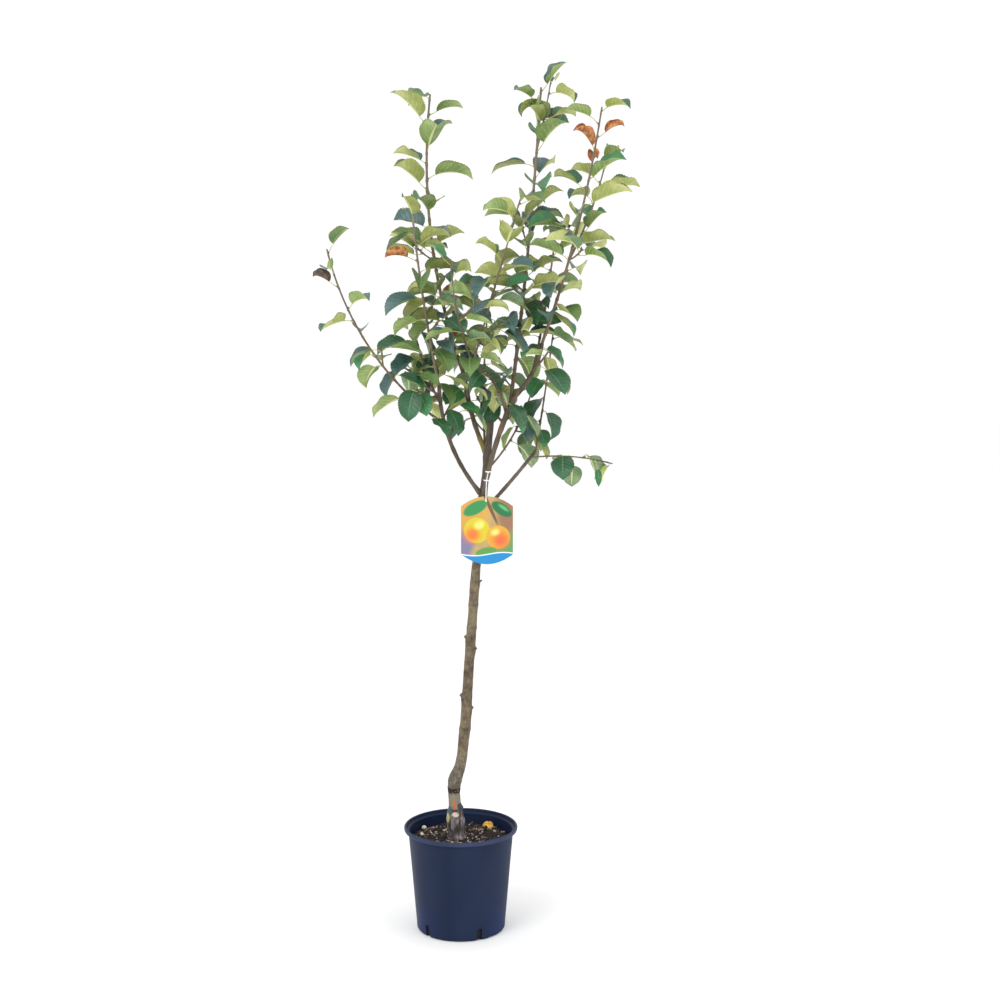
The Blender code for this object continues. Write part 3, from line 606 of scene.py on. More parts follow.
def feed(tree, socket, value):
    """Sets an input to a value, or links another node's output to it."""
    value = getattr(value, "socket", value)
    if isinstance(value, bpy.types.NodeSocket):
        tree.links.new(value, socket)
    else:
        socket.default_value = value


def put(tree, kind, inputs=None, **settings):
    """Adds a node, with its settings and its inputs."""
    node = tree.nodes.new(kind)
    for name, value in settings.items():
        setattr(node, name, value)
    for name, value in (inputs or {}).items():
        feed(tree, node.inputs[name], value)
    return node


class Field:
    """A value that changes over the surface. Signs between fields and numbers add math nodes."""

    def __init__(self, tree, socket):
        self.tree = tree
        self.socket = socket

    def math(self, kind, first, second=0.0):
        node = put(self.tree, "ShaderNodeMath", {0: first, 1: second}, operation=kind)
        return Field(self.tree, node.outputs[0])

    def __add__(self, other):
        return self.math("ADD", self, other)

    def __radd__(self, other):
        return self.math("ADD", other, self)

    def __sub__(self, other):
        return self.math("SUBTRACT", self, other)

    def __rsub__(self, other):
        return self.math("SUBTRACT", other, self)

    def __mul__(self, other):
        return self.math("MULTIPLY", self, other)

    __rmul__ = __mul__

    def __truediv__(self, other):
        return self.math("DIVIDE", self, other)

    def __pow__(self, other):
        return self.math("POWER", self, other)

    def __abs__(self):
        return self.math("ABSOLUTE", self)

    def ramp(self, low, high):
        """The value spread from 0 at low to 1 at high."""
        inputs = {"Value": self, "From Min": low, "From Max": high, "To Min": 0.0, "To Max": 1.0}
        node = put(self.tree, "ShaderNodeMapRange", inputs, interpolation_type="SMOOTHSTEP")
        return Field(self.tree, node.outputs["Result"])


def grainy(tree, vector, scale, **inputs):
    """Plain noise about a half."""
    inputs = {label.capitalize(): value for label, value in inputs.items()}
    inputs = {"Vector": vector, "Scale": scale, **inputs}
    return Field(tree, put(tree, "ShaderNodeTexNoise", inputs).outputs["Fac"])


def axis(tree, vector, name):
    return Field(tree, put(tree, "ShaderNodeSeparateXYZ", {"Vector": vector}).outputs[name])


def scaled(tree, vector, *scale):
    return put(tree, "ShaderNodeMapping", {"Vector": vector, "Scale": scale}).outputs[0]


def vectors(tree, kind, first, *second, out=0):
    inputs = dict(enumerate((first, *second)))
    return put(tree, "ShaderNodeVectorMath", inputs, operation=kind).outputs[out]


def blend(tree, share, first, second):
    """A colour between two, by a share that changes over the surface."""
    node = put(tree, "ShaderNodeMix", {0: share, 6: first, 7: second}, data_type="RGBA")
    return node.outputs[2]


class Effect:
    """A node group that more than one material uses."""

    def __init__(self, name, inputs, outputs):
        self.tree = bpy.data.node_groups.new(name, "ShaderNodeTree")
        for label, value in inputs.items():
            kind = "NodeSocketVector" if isinstance(value, tuple) else "NodeSocketFloat"
            socket = self.tree.interface.new_socket(name=label, in_out="INPUT", socket_type=kind)
            socket.default_value = value
        for label in outputs:
            self.tree.interface.new_socket(
                name=label, in_out="OUTPUT", socket_type="NodeSocketFloat"
            )
        self.start = self.tree.nodes.new("NodeGroupInput")
        self.end = self.tree.nodes.new("NodeGroupOutput")

    def given(self, name):
        return Field(self.tree, self.start.outputs[name])

    def put_out(self, **made):
        for name, value in made.items():
            feed(self.tree, self.end.inputs[name], value)
        return self.tree


def mottle_effect():
    """Soft cloudy patches from 0 to 1, with a finer grain in them."""
    effect = Effect("Mottle", {"Vector": (0.0, 0.0, 0.0), "Scale": 20.0, "Grain": 0.4}, ["Value"])
    cloud = grainy(
        effect.tree, effect.given("Vector"), effect.given("Scale"),
        detail=4.0, roughness=effect.given("Grain"),
    )
    return effect.put_out(Value=cloud.ramp(0.32, 0.68))


def bark_effect():
    """Young bark: fine upright cracks, short pale pores set crosswise, and lumps."""
    effect = Effect(
        "Young bark", {"Vector": (0.0, 0.0, 0.0), "Scale": 1.0}, ["Cracks", "Pores", "Height"]
    )
    tree, where, scale = effect.tree, effect.given("Vector"), effect.given("Scale")
    upright = scaled(tree, where, 1.0, 1.0, 0.12)
    crack = grainy(tree, upright, scale * 420.0, detail=5.0, roughness=0.62).ramp(0.56, 0.72)
    crosswise = scaled(tree, where, 0.5, 0.5, 1.5)
    cells = put(tree, "ShaderNodeTexVoronoi", {"Vector": crosswise, "Scale": scale * 260.0})
    pore = 1.0 - Field(tree, cells.outputs["Distance"]).ramp(0.12, 0.24)
    lumps = grainy(tree, where, scale * 130.0, detail=3.0)
    return effect.put_out(Cracks=crack, Pores=pore, Height=lumps - crack * 0.55 + pore * 0.35)


def daub_effect():
    """A soft or ragged oval, 1 inside and 0 outside, round a centre with its own half sizes."""
    inputs = {
        "Vector": (0.0, 0.0, 0.0), "Centre": (0.0, 0.0, 0.0), "Reach": (1.0, 1.0, 1.0),
        "Blur": 0.1, "Ragged": 0.0, "Grain": 200.0,
    }
    effect = Effect("Daub", inputs, ["Mask"])
    tree, where, blur = effect.tree, effect.given("Vector"), effect.given("Blur")
    share = vectors(tree, "SUBTRACT", where, effect.given("Centre"))
    share = vectors(tree, "DIVIDE", share, effect.given("Reach"))
    length = Field(tree, vectors(tree, "LENGTH", share, out="Value"))
    rough = grainy(tree, where, effect.given("Grain"), detail=3.0)
    edge = length + (rough - 0.5) * effect.given("Ragged")
    return effect.put_out(Mask=1.0 - edge.ramp(1.0 - blur, 1.0 + blur))


def vein_effect():
    """A leaf's veins: on its map U runs along the blade, and V across with the midrib at a half."""
    inputs = {
        "Map": (0.0, 0.0, 0.0), "Rib width": 0.145, "Pairs": 7.0, "Sweep": 0.26, "Side veins": 0.5,
    }
    effect = Effect("Leaf veins", inputs, ["Veins", "Height", "Rim"])
    tree = effect.tree
    along = axis(tree, effect.given("Map"), "X")
    aside = abs((axis(tree, effect.given("Map"), "Y") - 0.5) * 2.0)
    taper = effect.given("Rib width") * (1.0 - along * 0.65)
    rib = 1.0 - (aside / taper).ramp(0.5, 1.3)
    beat = (along - aside**1.25 * effect.given("Sweep")) * effect.given("Pairs") + 4.0
    off = abs(beat.math("FRACT", beat) - 0.5)
    side = (1.0 - off.ramp(0.01, 0.09)) * (1.0 - aside * 0.6)
    veins = rib.math("MAXIMUM", rib, side * effect.given("Side veins"))
    pillow = (1.0 - off * 2.0) * -0.5
    rim = (aside + along * 0.04).ramp(0.88, 1.0)
    return effect.put_out(Veins=veins, Rim=rim, Height=pillow - rib * 0.5)


class Look:
    """A material in the making: its base colour is laid on in coats."""

    def __init__(self, name, roughness, effects, first):
        self.material = bpy.data.materials.new(name)
        self.material.use_nodes = True
        self.tree = self.material.node_tree
        self.shader = self.tree.nodes["Principled BSDF"]
        self.shader.inputs["Roughness"].default_value = roughness
        self.where = put(self.tree, "ShaderNodeTexCoord").outputs["Object"]
        self.effects = effects
        self.colour = first

    def effect(self, name, **inputs):
        """One of the shared effects with its own values, as its outputs by name."""
        inputs = {label.capitalize().replace("_", " "): inputs[label] for label in inputs}
        node = put(self.tree, "ShaderNodeGroup", node_tree=self.effects[name])
        for label, value in inputs.items():
            feed(self.tree, node.inputs[label], value)
        return {made.name: Field(self.tree, made) for made in node.outputs}

    def mottle(self, scale, grain, vector=None):
        return self.effect("Mottle", vector=vector or self.where, scale=scale, grain=grain)["Value"]

    def coat(self, share, colour):
        self.colour = blend(self.tree, share, self.colour, colour)

    def daubs(self, strength, grain, marks):
        """Marks on the skin: colour, centre, half sizes, softness and raggedness."""
        for colour, centre, reach, blur, ragged in marks:
            made = self.effect(
                "Daub", vector=self.where, centre=centre, reach=reach, blur=blur, ragged=ragged,
                grain=grain,
            )
            self.coat(made["Mask"] * strength, colour)

    def finish(self, height=None, distance=0.0, strength=1.0):
        """Joins the colour, and the height of the skin if there is one, to the shader."""
        feed(self.tree, self.shader.inputs["Base Color"], self.colour)
        if height is not None:
            inputs = {"Height": height, "Distance": distance, "Strength": strength}
            bump = put(self.tree, "ShaderNodeBump", inputs)
            feed(self.tree, self.shader.inputs["Normal"], bump.outputs["Normal"])
        return self.material


def two_tone(effects, name, dark, pale, scale, grain, roughness, distance, strength):
    """Two tones in soft patches, with a skin to match."""
    look = Look(name, roughness, effects, dark)
    cloud = look.mottle(scale, grain)
    look.coat(cloud, pale)
    return look.finish(cloud, distance, strength)


def pot_plastic(effects):
    """Moulded navy plastic, slate in places, with a bluer tone low down at the left and right sides
    as painted reflection, and a lighter rim band as painted highlight.
    """
    look = Look("pot_plastic", 0.5, effects, tone(17, 31, 57))
    tree, where = look.tree, look.where
    look.shader.inputs["Specular IOR Level"].default_value = 0.14
    cloud = look.mottle(9.0, 0.45, scaled(tree, where, 1.0, 1.0, 0.45))
    look.coat(cloud, tone(30, 42, 68))
    height = axis(tree, where, "Z")
    # Painted reflection: a bluer tone low down, towards the pot's left and right sides as seen from
    # the camera.
    aside = abs(axis(tree, where, "X")).ramp(0.03, 0.10)
    look.coat((1.0 - height.ramp(0.0, 0.10)) * 0.6 * aside, tone(26, 46, 98))
    rim_foot = POT_HEIGHT - RIM_HEIGHT
    flat = vectors(tree, "MULTIPLY", where, (1.0, 1.0, 0.0))
    outer = Field(tree, vectors(tree, "LENGTH", flat, out="Value"))
    # Painted highlight: the rim's outer band is made lighter blue-grey all the way round, flecked
    # by the mottle.
    lip = height.ramp(rim_foot - 0.001, rim_foot + 0.002)
    lip = lip * outer.ramp(RIM_RADIUS - RIM_WALL, RIM_RADIUS)
    look.coat(lip * (0.35 + cloud * 0.45), tone(60, 70, 100))
    feed(tree, look.shader.inputs["Roughness"], 0.44 + cloud * 0.16)
    return look.finish(look.mottle(240.0, 0.6), 0.00012, 0.6)


def potting_soil(effects):
    look = Look("potting_soil", 0.95, effects, tone(12, 9, 8))
    crumbs = grainy(look.tree, look.where, 330.0, detail=6.0, roughness=0.7)
    look.coat(look.mottle(45.0, 0.5), tone(32, 24, 20))
    look.coat(crumbs.ramp(0.60, 0.74) * 0.45, tone(96, 72, 58))
    return look.finish(crumbs, 0.003)


def graft_tape(effects):
    """Black winding tape, worn through to the bark in spots."""
    look = Look("graft_tape", 0.7, effects, tone(8, 8, 9))
    cloud = look.mottle(260.0, 0.6)
    look.coat(cloud.ramp(0.80, 0.97), tone(118, 94, 72))
    return look.finish(cloud, 0.0006, 0.8)


def bark(name, effects, dark, mid, pale, scale):
    """Young bark in three tones, and the height of its skin."""
    look = Look(name, 0.78, effects, dark)
    look.coat(look.mottle(42.0 * scale, 0.55), mid)
    look.coat(look.mottle(13.0, 0.5) * 0.45, pale)
    skin = look.effect("Young bark", vector=look.where, scale=scale)
    look.coat(skin["Cracks"] * 0.6, dark)
    look.coat(skin["Pores"] * 0.5, pale)
    return look, skin["Height"]


TRUNK_MARKS = (
    (tone(196, 190, 120), (-0.0275, -0.010, 0.241), (0.0040, 0.010, 0.011), 0.35, 0.6),
    (tone(70, 92, 98), (-0.0245, -0.012, 0.259), (0.0070, 0.012, 0.0090), 0.3, 0.7),
    (tone(34, 46, 60), (0.001, -0.010, 0.2655), (0.0085, 0.014, 0.0080), 0.2, 0.6),
    (tone(46, 58, 70), (-0.012, -0.014, 0.2575), (0.0105, 0.010, 0.0028), 0.4, 0.9),
    (tone(206, 92, 40), (-0.0135, -0.016, 0.2655), (0.0034, 0.010, 0.0075), 0.25, 0.6),
    (tone(214, 110, 50), (-0.0145, -0.016, 0.276), (0.0017, 0.010, 0.0085), 0.3, 0.5),
    (tone(92, 84, 70), (0.0310, -0.010, 0.697), (0.0075, 0.010, 0.0035), 0.4, 0.6),
    (tone(92, 84, 70), (0.0290, -0.010, 0.648), (0.0085, 0.010, 0.0030), 0.4, 0.6),
    (tone(72, 62, 50), (0.0120, -0.010, 0.432), (0.0075, 0.010, 0.0048), 0.4, 0.6),
)
BOUGH_MARKS = (
    (tone(150, 136, 62), (0.046, 0.012, 1.030), (0.014, 0.020, 0.020), 0.5, 1.1),
    (tone(150, 112, 72), (0.083, -0.034, 1.075), (0.005, 0.012, 0.018), 0.5, 1.1),
    (tone(150, 122, 84), (0.118, -0.010, 1.150), (0.008, 0.030, 0.024), 0.5, 1.1),
)


def trunk_bark(effects):
    """The trunk's bark: streaked rootstock, pale graft, speckled grey bend, umber top."""
    look, relief_height = bark(
        "trunk_bark", effects, tone(60, 50, 37), tone(112, 96, 72), tone(148, 133, 104), 1.0
    )
    tree, where = look.tree, look.where
    height = axis(tree, where, "Z")
    grey = 1.0 - height.ramp(0.335, 0.40)
    look.coat(grey * 0.55, tone(92, 88, 80))
    grit = grainy(tree, where, 165.0, detail=3.0, roughness=0.6)
    look.coat(grit.ramp(0.53, 0.62) * 0.42, tone(64, 54, 46))
    look.coat((1.0 - grit.ramp(0.38, 0.46)) * (0.20 + grey * 0.35), tone(150, 146, 132))
    look.coat((1.0 - height.ramp(0.287, 0.296)) * 0.6, tone(152, 142, 124))
    streaks = grainy(tree, scaled(tree, where, 1.0, 1.0, 0.22), 190.0, detail=4.0)
    old = blend(tree, streaks.ramp(0.44, 0.64), tone(58, 49, 53), tone(150, 138, 140))
    look.coat((1.0 - (height + streaks * 0.016).ramp(0.262, 0.268)) * 0.92, old)
    look.coat(height.ramp(0.76, 0.95) * 0.66, tone(74, 63, 58))
    look.daubs(0.88, 180.0, TRUNK_MARKS)
    return look.finish(relief_height, 0.0018)


def bough_bark(effects):
    """Darker bark with tan patches, and a yellow-green bloom at the back bough's collar."""
    look, height = bark(
        "bough_bark", effects, tone(58, 50, 43), tone(92, 80, 68), tone(124, 110, 92), 1.25
    )
    look.daubs(0.6, 90.0, BOUGH_MARKS)
    return look.finish(height, 0.0011)


def twig_bark(effects):
    """Twigs: brown low down, greyer on the young wood, with olive-tan patches."""
    look, height = bark(
        "twig_bark", effects, tone(74, 62, 54), tone(112, 98, 86), tone(146, 132, 116), 1.7
    )
    young = axis(look.tree, look.where, "Z").ramp(1.22, 1.55)
    look.coat(young * 0.55, tone(136, 124, 120))
    look.coat(look.mottle(11.0, 0.4) * 0.6, tone(120, 100, 66))
    return look.finish(height, 0.0006)


def leaf_face(effects, name, deep, fresh, vein, roughness, strength, relief, rib_width):
    """One side of the blades: two close greens, veined and scorched over each leaf's own map."""
    look = Look(name, roughness, effects, deep)
    own = put(look.tree, "ShaderNodeUVMap", uv_map="Blade").outputs["UV"]
    veined = look.effect("Leaf veins", map=own, rib_width=rib_width)
    cloud = look.mottle(34.0, 0.5)
    look.coat(axis(look.tree, own, "X").ramp(0.15, 0.95) * 0.5 + cloud * 0.5, fresh)
    look.coat(veined["Veins"] * strength, vein)
    look.coat(veined["Rim"] * cloud.ramp(0.25, 0.75) * 0.7, tone(112, 84, 58))
    return look.finish(veined["Height"], relief, 0.8)


# The card's own picture, back to front: colour, centre in X and Z from the card's middle,
# half sizes, how far it leans in degrees, and how blurred it is
CARD_SHAPES = (
    (tone(206, 156, 74), (-0.034, 0.034), (0.036, 0.042), 0, 0.5),
    (tone(150, 110, 84), (0.040, 0.030), (0.020, 0.050), 8, 0.5),
    (tone(126, 120, 150), (-0.046, -0.034), (0.018, 0.034), -10, 0.5),
    (tone(96, 150, 84), (0.042, -0.030), (0.030, 0.024), 30, 0.35),
    (tone(110, 84, 66), (0.006, 0.048), (0.0035, 0.040), 24, 0.25),
    (tone(52, 140, 78), (-0.024, 0.046), (0.027, 0.0125), 28, 0.12),
    (tone(36, 112, 66), (0.030, 0.044), (0.024, 0.0115), -34, 0.12),
    (tone(92, 176, 104), (0.034, 0.047), (0.012, 0.0035), -34, 0.5),
    (tone(206, 192, 44), (-0.021, 0.000), (0.0265, 0.0265), 0, 0.05),
    (tone(236, 120, 52), (-0.030, -0.009), (0.015, 0.014), 20, 0.7),
    (tone(246, 232, 120), (-0.016, 0.011), (0.009, 0.007), 30, 0.8),
    (tone(216, 164, 48), (0.023, -0.014), (0.0245, 0.0240), 0, 0.05),
    (tone(222, 104, 58), (0.028, -0.020), (0.015, 0.015), 0, 0.8),
    (tone(250, 222, 120), (0.017, -0.004), (0.008, 0.006), 20, 0.8),
    (tone(88, 150, 72), (-0.002, -0.045), (0.022, 0.009), 12, 0.15),
)


def tag_card_print(effects):
    """A generic picture of round fruit and leaves over a plain blue foot, on a glossy card."""
    look = Look("tag_card_print", 0.3, effects, tone(200, 172, 92))
    tree, where = look.tree, look.where
    cloud = look.mottle(30.0, 0.3)
    look.coat(cloud, tone(172, 142, 104))
    for shade, (across, up), (half, tall), lean, blur in CARD_SHAPES:
        # Point mapping turns after it moves, so the shape's centre is moved to the origin first.
        centre = (TAG_CENTRE[0] + across, 0.0, TAG_CENTRE[2] + up)
        inputs = {
            "Vector": vectors(tree, "SUBTRACT", where, centre),
            "Rotation": (0.0, math.radians(lean), 0.0), "Scale": (1.0, 0.0, 1.0),
        }
        laid = put(tree, "ShaderNodeMapping", inputs).outputs[0]
        shape = look.effect("Daub", vector=laid, reach=(half, 1.0, tall), blur=blur)
        look.coat(shape["Mask"], shade)
    across = axis(tree, where, "X") * 52.0
    level = axis(tree, where, "Z") + across.math("SINE", across) * 0.0035
    foot = TAG_CENTRE[2] - 0.0505
    look.coat(1.0 - level.ramp(foot + 0.0016, foot + 0.0026), tone(236, 244, 250))
    look.coat(1.0 - level.ramp(foot - 0.0006, foot + 0.0006), tone(20, 134, 196))
    return look.finish(cloud, 0.0002, 0.4)


# Plain two-tone looks: dark and pale, then scale, grain, roughness, and the skin's depth and
# strength
CRUMB = (160.0, 0.65, 0.9, 0.0006, 0.8)
LEAFY = (90.0, 0.6, 0.7, 0.0006, 0.6)
PLAIN_LOOKS = {
    "chip_dark": (tone(18, 13, 12), tone(46, 34, 30), *CRUMB),
    "chip_brown": (tone(56, 40, 35), tone(104, 78, 68), *CRUMB),
    "chip_pale": (tone(140, 120, 110), tone(212, 196, 184), *CRUMB),
    "soil_beads": (tone(196, 194, 160), tone(236, 234, 214), 300.0, *CRUMB[1:]),
    "fallen_scrap": (tone(190, 136, 40), tone(236, 196, 96), 120.0, *CRUMB[1:]),
    "cut_wood": (tone(176, 158, 140), tone(214, 200, 184), 220.0, *CRUMB[1:]),
    "weathered_cut": (tone(96, 84, 76), tone(134, 118, 104), 220.0, *CRUMB[1:]),
    "bud_scales": (tone(84, 58, 50), tone(136, 110, 88), 400.0, *LEAFY[1:]),
    "leaf_dry_rust": (tone(132, 70, 32), tone(216, 150, 92), *LEAFY),
    "leaf_dry_dark": (tone(62, 56, 50), tone(110, 88, 64), *LEAFY),
    "leaf_stalk": (tone(150, 160, 84), tone(190, 186, 112), 200.0, 0.6, 0.5, 0.0006, 0.6),
    "strap_plastic": (tone(216, 218, 222), tone(240, 241, 243), 150.0, 0.5, 0.4, 0.0001, 0.5),
}

# The blades' faces and backs: two greens, the veins' tone, roughness, and how clear the veins are
RIB = tone(226, 230, 158)
FACES = {
    "leaf_deep_green": (tone(30, 74, 46), tone(52, 104, 70), tone(112, 152, 104), 0.42, 0.42),
    # Blue-green: partly the blade's own bluish green, and partly painted sheen of the white sky on
    # its waxy face.
    "leaf_blue_green": (tone(44, 80, 76), tone(84, 116, 114), tone(138, 164, 144), 0.38, 0.38),
    "leaf_mid_green": (tone(38, 98, 56), tone(66, 134, 82), tone(136, 176, 114), 0.44, 0.40),
    "leaf_olive_green": (tone(72, 104, 56), tone(110, 140, 82), tone(164, 180, 110), 0.46, 0.42),
}
# The backs are lit and shaded copies of one underside: the pale yellow sunlit one is painted light
# shining through the blade, and the shade one is painted shade.
BACKS = {
    "leaf_back_sunny": (tone(140, 150, 64), tone(200, 206, 138), RIB, 0.62, 0.92),
    "leaf_back_green": (tone(108, 138, 64), tone(168, 188, 124), RIB, 0.62, 0.88),
    "leaf_back_shade": (tone(88, 122, 80), tone(144, 170, 130), RIB, 0.62, 0.8),
}


def build_materials():
    made = (mottle_effect(), bark_effect(), daub_effect(), vein_effect())
    effects = {tree.name: tree for tree in made}
    looks = {name: two_tone(effects, name, *row) for name, row in PLAIN_LOOKS.items()}
    for name, row in FACES.items():
        looks[name] = leaf_face(effects, name, *row, 0.0011, 0.095)
    for name, row in BACKS.items():
        looks[name] = leaf_face(effects, name, *row, -0.0006, 0.145)
    for build in (
        pot_plastic, potting_soil, graft_tape, trunk_bark, bough_bark, twig_bark, tag_card_print
    ):
        looks[build.__name__] = build(effects)
    return looks


# Mesh helpers


def add_object(name, data):
    obj = bpy.data.objects.new(name, data)
    bpy.context.scene.collection.objects.link(obj)
    return obj


def add_piece(name, mesh, materials, angle=40.0):
    """A finished mesh as an object of the scene, smooth but for edges sharper than an angle."""
    for material in materials:
        mesh.materials.append(material)
    mesh.shade_smooth()
    mesh.set_sharp_from_angle(angle=math.radians(angle))
    return add_object(name, mesh)


def on_body(obj, slot, *nodes):
    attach(obj, "root")
    if nodes:
        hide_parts(*nodes)


def mesh_of(bm, name):
    mesh = bpy.data.meshes.new(name)
    bm.to_mesh(mesh)
    bm.free()
    return mesh


def inset(bm, faces, thickness, depth=0.0):
    bmesh.ops.inset_region(
        bm, faces=faces, thickness=thickness, depth=depth, use_even_offset=False
    )


def fit(name, bm, materials, angle, slot, *nodes):
    """A bmesh as a finished piece of the tree."""
    on_body(add_piece(name, mesh_of(bm, name), materials, angle), slot, *nodes)


def spin(bm, verts, degrees):
    turn = Matrix.Rotation(math.radians(degrees), 3, "Z")
    bmesh.ops.rotate(bm, cent=(0, 0, 0), matrix=turn, verts=verts)


class Batch:
    """Many small things joined into one mesh."""

    def __init__(self):
        self.points = []
        self.faces = []
        self.kinds = []
        self.maps = []
        self.count = 0

    def add(self, points, faces, kinds, marks=None):
        """Points with their faces, a material for each face, and each point's place on the map."""
        self.points.append(np.asarray(points, float))
        self.faces += [tuple(self.count + i for i in face) for face in faces]
        self.kinds += [kinds] * len(faces) if isinstance(kinds, int) else list(kinds)
        if marks is None:
            marks = np.zeros((len(points), 2))
        self.maps.append(np.asarray(marks, float))
        self.count += len(points)

    def tube(self, centres, radii, sides, kind):
        self.add(tube_points(centres, radii, sides), tube_faces(len(centres), sides), kind)

    def fit(self, name, materials, angle, *slot_and_nodes, map_name=None):
        """The batch as a finished piece of the tree."""
        on_body(add_piece(name, self.mesh(name, map_name), materials, angle), *slot_and_nodes)

    def mesh(self, name, map_name):
        mesh = bpy.data.meshes.new(name)
        mesh.from_pydata(np.vstack(self.points).tolist(), [], self.faces)
        mesh.polygons.foreach_set("material_index", self.kinds)
        if map_name:
            marks = np.vstack(self.maps)
            corners = np.empty(len(mesh.loops), np.int32)
            mesh.loops.foreach_get("vertex_index", corners)
            layer = mesh.uv_layers.new(name=map_name)
            layer.data.foreach_set("uv", marks[corners].astype(np.float32).ravel())
        mesh.validate()
        return mesh


def tube_points(centres, radii, sides):
    """Rings round a line of centres, each square to the line."""
    courses = np.gradient(centres, axis=0)
    courses /= np.linalg.norm(courses, axis=1)[:, None]
    guide = np.array([0.0, 1.0, 0.0]) if abs(courses[0][1]) < 0.8 else np.array([1.0, 0.0, 0.0])
    side = np.cross(courses, guide)
    side /= np.linalg.norm(side, axis=1)[:, None]
    over = np.cross(courses, side)
    turns = 2 * math.pi * np.arange(sides) / sides
    round_side = np.cos(turns)[None, :, None] * side[:, None, :]
    round_over = np.sin(turns)[None, :, None] * over[:, None, :]
    rings = centres[:, None, :] + np.asarray(radii)[:, None, None] * (round_side + round_over)
    return rings.reshape(-1, 3)


def tube_faces(rings, sides):
    faces = []
    for ring in range(rings - 1):
        for i in range(sides):
            j = (i + 1) % sides
            low = ring * sides
            high = low + sides
            faces.append((low + i, low + j, high + j, high + i))
    faces.append(tuple(range(sides - 1, -1, -1)))
    faces.append(tuple(range((rings - 1) * sides, rings * sides)))
    return faces


# The pot

POT_STEPS = 144


def spun(profile, steps):
    """A bmesh of revolution about Z, from rows of radius and height."""
    bm = bmesh.new()
    verts = [bm.verts.new((radius, 0.0, height)) for radius, height in profile]
    edges = [bm.edges.new(pair) for pair in zip(verts, verts[1:])]
    bmesh.ops.spin(
        bm, geom=verts + edges, cent=(0, 0, 0), axis=(0, 0, 1), angle=2 * math.pi,
        steps=steps, use_merge=True, use_duplicate=False,
    )
    bmesh.ops.remove_doubles(bm, verts=bm.verts, dist=1e-5)
    bmesh.ops.recalc_face_normals(bm, faces=bm.faces)
    return bm


def rounded(centre, radius, first, last, steps):
    """Points of a rounded corner in a profile, between two directions in degrees."""
    points = []
    for step in range(steps + 1):
        turn = math.radians(first + (last - first) * step / steps)
        points.append((centre[0] + radius * math.cos(turn), centre[1] + radius * math.sin(turn)))
    return points


def drain_cutter():
    """The slots' shape, all of them in one mesh."""
    bm = bmesh.new()
    for index in range(DRAIN_COUNT):
        block = bmesh.ops.create_cube(bm, size=1.0)["verts"]
        bmesh.ops.scale(bm, vec=(2 * DRAIN_REACH, DRAIN_WIDTH, 2 * DRAIN_HEIGHT), verts=block)
        edges = {edge for vert in block for edge in vert.link_edges}
        along = [e for e in edges if abs(e.verts[0].co.x - e.verts[1].co.x) > DRAIN_REACH]
        made = bmesh.ops.bevel(
            bm, geom=along, offset=DRAIN_CORNER, offset_type="OFFSET", segments=4, profile=0.5,
            affect="EDGES", material=-1,
        )
        block = list({vert for vert in block if vert.is_valid} | set(made["verts"]))
        bmesh.ops.translate(bm, vec=(BASE_RADIUS + 0.001, 0.0, 0.0), verts=block)
        spin(bm, block, DRAIN_START + 360 * index / DRAIN_COUNT)
    return add_object("drain_cutter", mesh_of(bm, "drain_cutter"))


def build_pot(looks):
    """The nursery pot: a thin tapering wall, a heavy rolled rim and slots round the foot."""
    under = POT_HEIGHT - RIM_HEIGHT
    inner = RIM_RADIUS - RIM_WALL
    profile = [(0.0, POT_FLOOR), (wall_radius(POT_FLOOR) - POT_WALL - 0.003, POT_FLOOR)]
    profile += [(wall_radius(0.007) - POT_WALL, 0.007), (wall_radius(under) - POT_WALL, under)]
    profile += [(inner - 0.0006, POT_HEIGHT - 0.006)]
    profile += rounded((inner + 0.0030, POT_HEIGHT - 0.0028), 0.0028, 180, 90, 5)
    profile += rounded((RIM_RADIUS - 0.0034, POT_HEIGHT - 0.0034), 0.0034, 90, 0, 6)
    profile += rounded((RIM_RADIUS - 0.0036, under + 0.0030), 0.0032, 0, -90, 5)
    profile += rounded((wall_radius(under) + 0.0020, under - 0.0020), 0.0020, 90, 180, 3)
    profile += [(wall_radius(height), height) for height in (0.150, 0.100, 0.050, 0.008)]
    profile += rounded((BASE_RADIUS - 0.0042, 0.0050), 0.0048, 0, -80, 5)
    profile += [(BASE_RADIUS - 0.007, 0.0), (0.0, 0.0)]
    pot = add_object("pot_shell", mesh_of(spun(profile, POT_STEPS), "pot_shell"))
    cutter = drain_cutter()
    cut = pot.modifiers.new("Slots", "BOOLEAN")
    cut.operation = "DIFFERENCE"
    cut.solver = "EXACT"
    cut.object = cutter
    bpy.context.view_layer.update()
    graph = bpy.context.evaluated_depsgraph_get()
    mesh = bpy.data.meshes.new_from_object(pot.evaluated_get(graph))
    bpy.data.objects.remove(pot, do_unlink=True)
    bpy.data.objects.remove(cutter, do_unlink=True)
    mesh.name = "pot_moulded"
    mesh.materials.clear()
    on_body(add_piece("pot_moulded", mesh, [looks["pot_plastic"]], 32), "pot_plastic", "pot")


# The soil

SOIL_RINGS = 34
CHIP_COUNT = 560
FIBRE_EVERY = 5
BEAD_COUNT = 60
CHIP_REACH = 0.104
BEAD_REACH = 0.103
STEM_PLACE = -0.009  # the trunk's X at the soil
STEM_CLEAR = 0.023
BIG_BEADS = ((-0.0805, 0.0590, 0.0054), (-0.0830, 0.0150, 0.0042))  # place and radius
SCRAP_PLACE = (0.0560, 0.0700)
SCRAP_TURN = -34


def soil_height(x, y):
    """Lumpy soil, a little raised round the trunk and settled at the wall."""
    radius = math.hypot(x, y)
    lump = noise.noise(Vector((x * 38, y * 38, 0.0))) * 0.0022
    lump += noise.noise(Vector((x * 120, y * 120, 4.0))) * 0.0013
    heap = 0.0022 * math.exp(-(((x - STEM_PLACE) ** 2 + y * y) / 0.035**2))
    return SOIL_TOP + heap + lump - 0.0015 * max(0.0, radius - 0.08) / 0.03


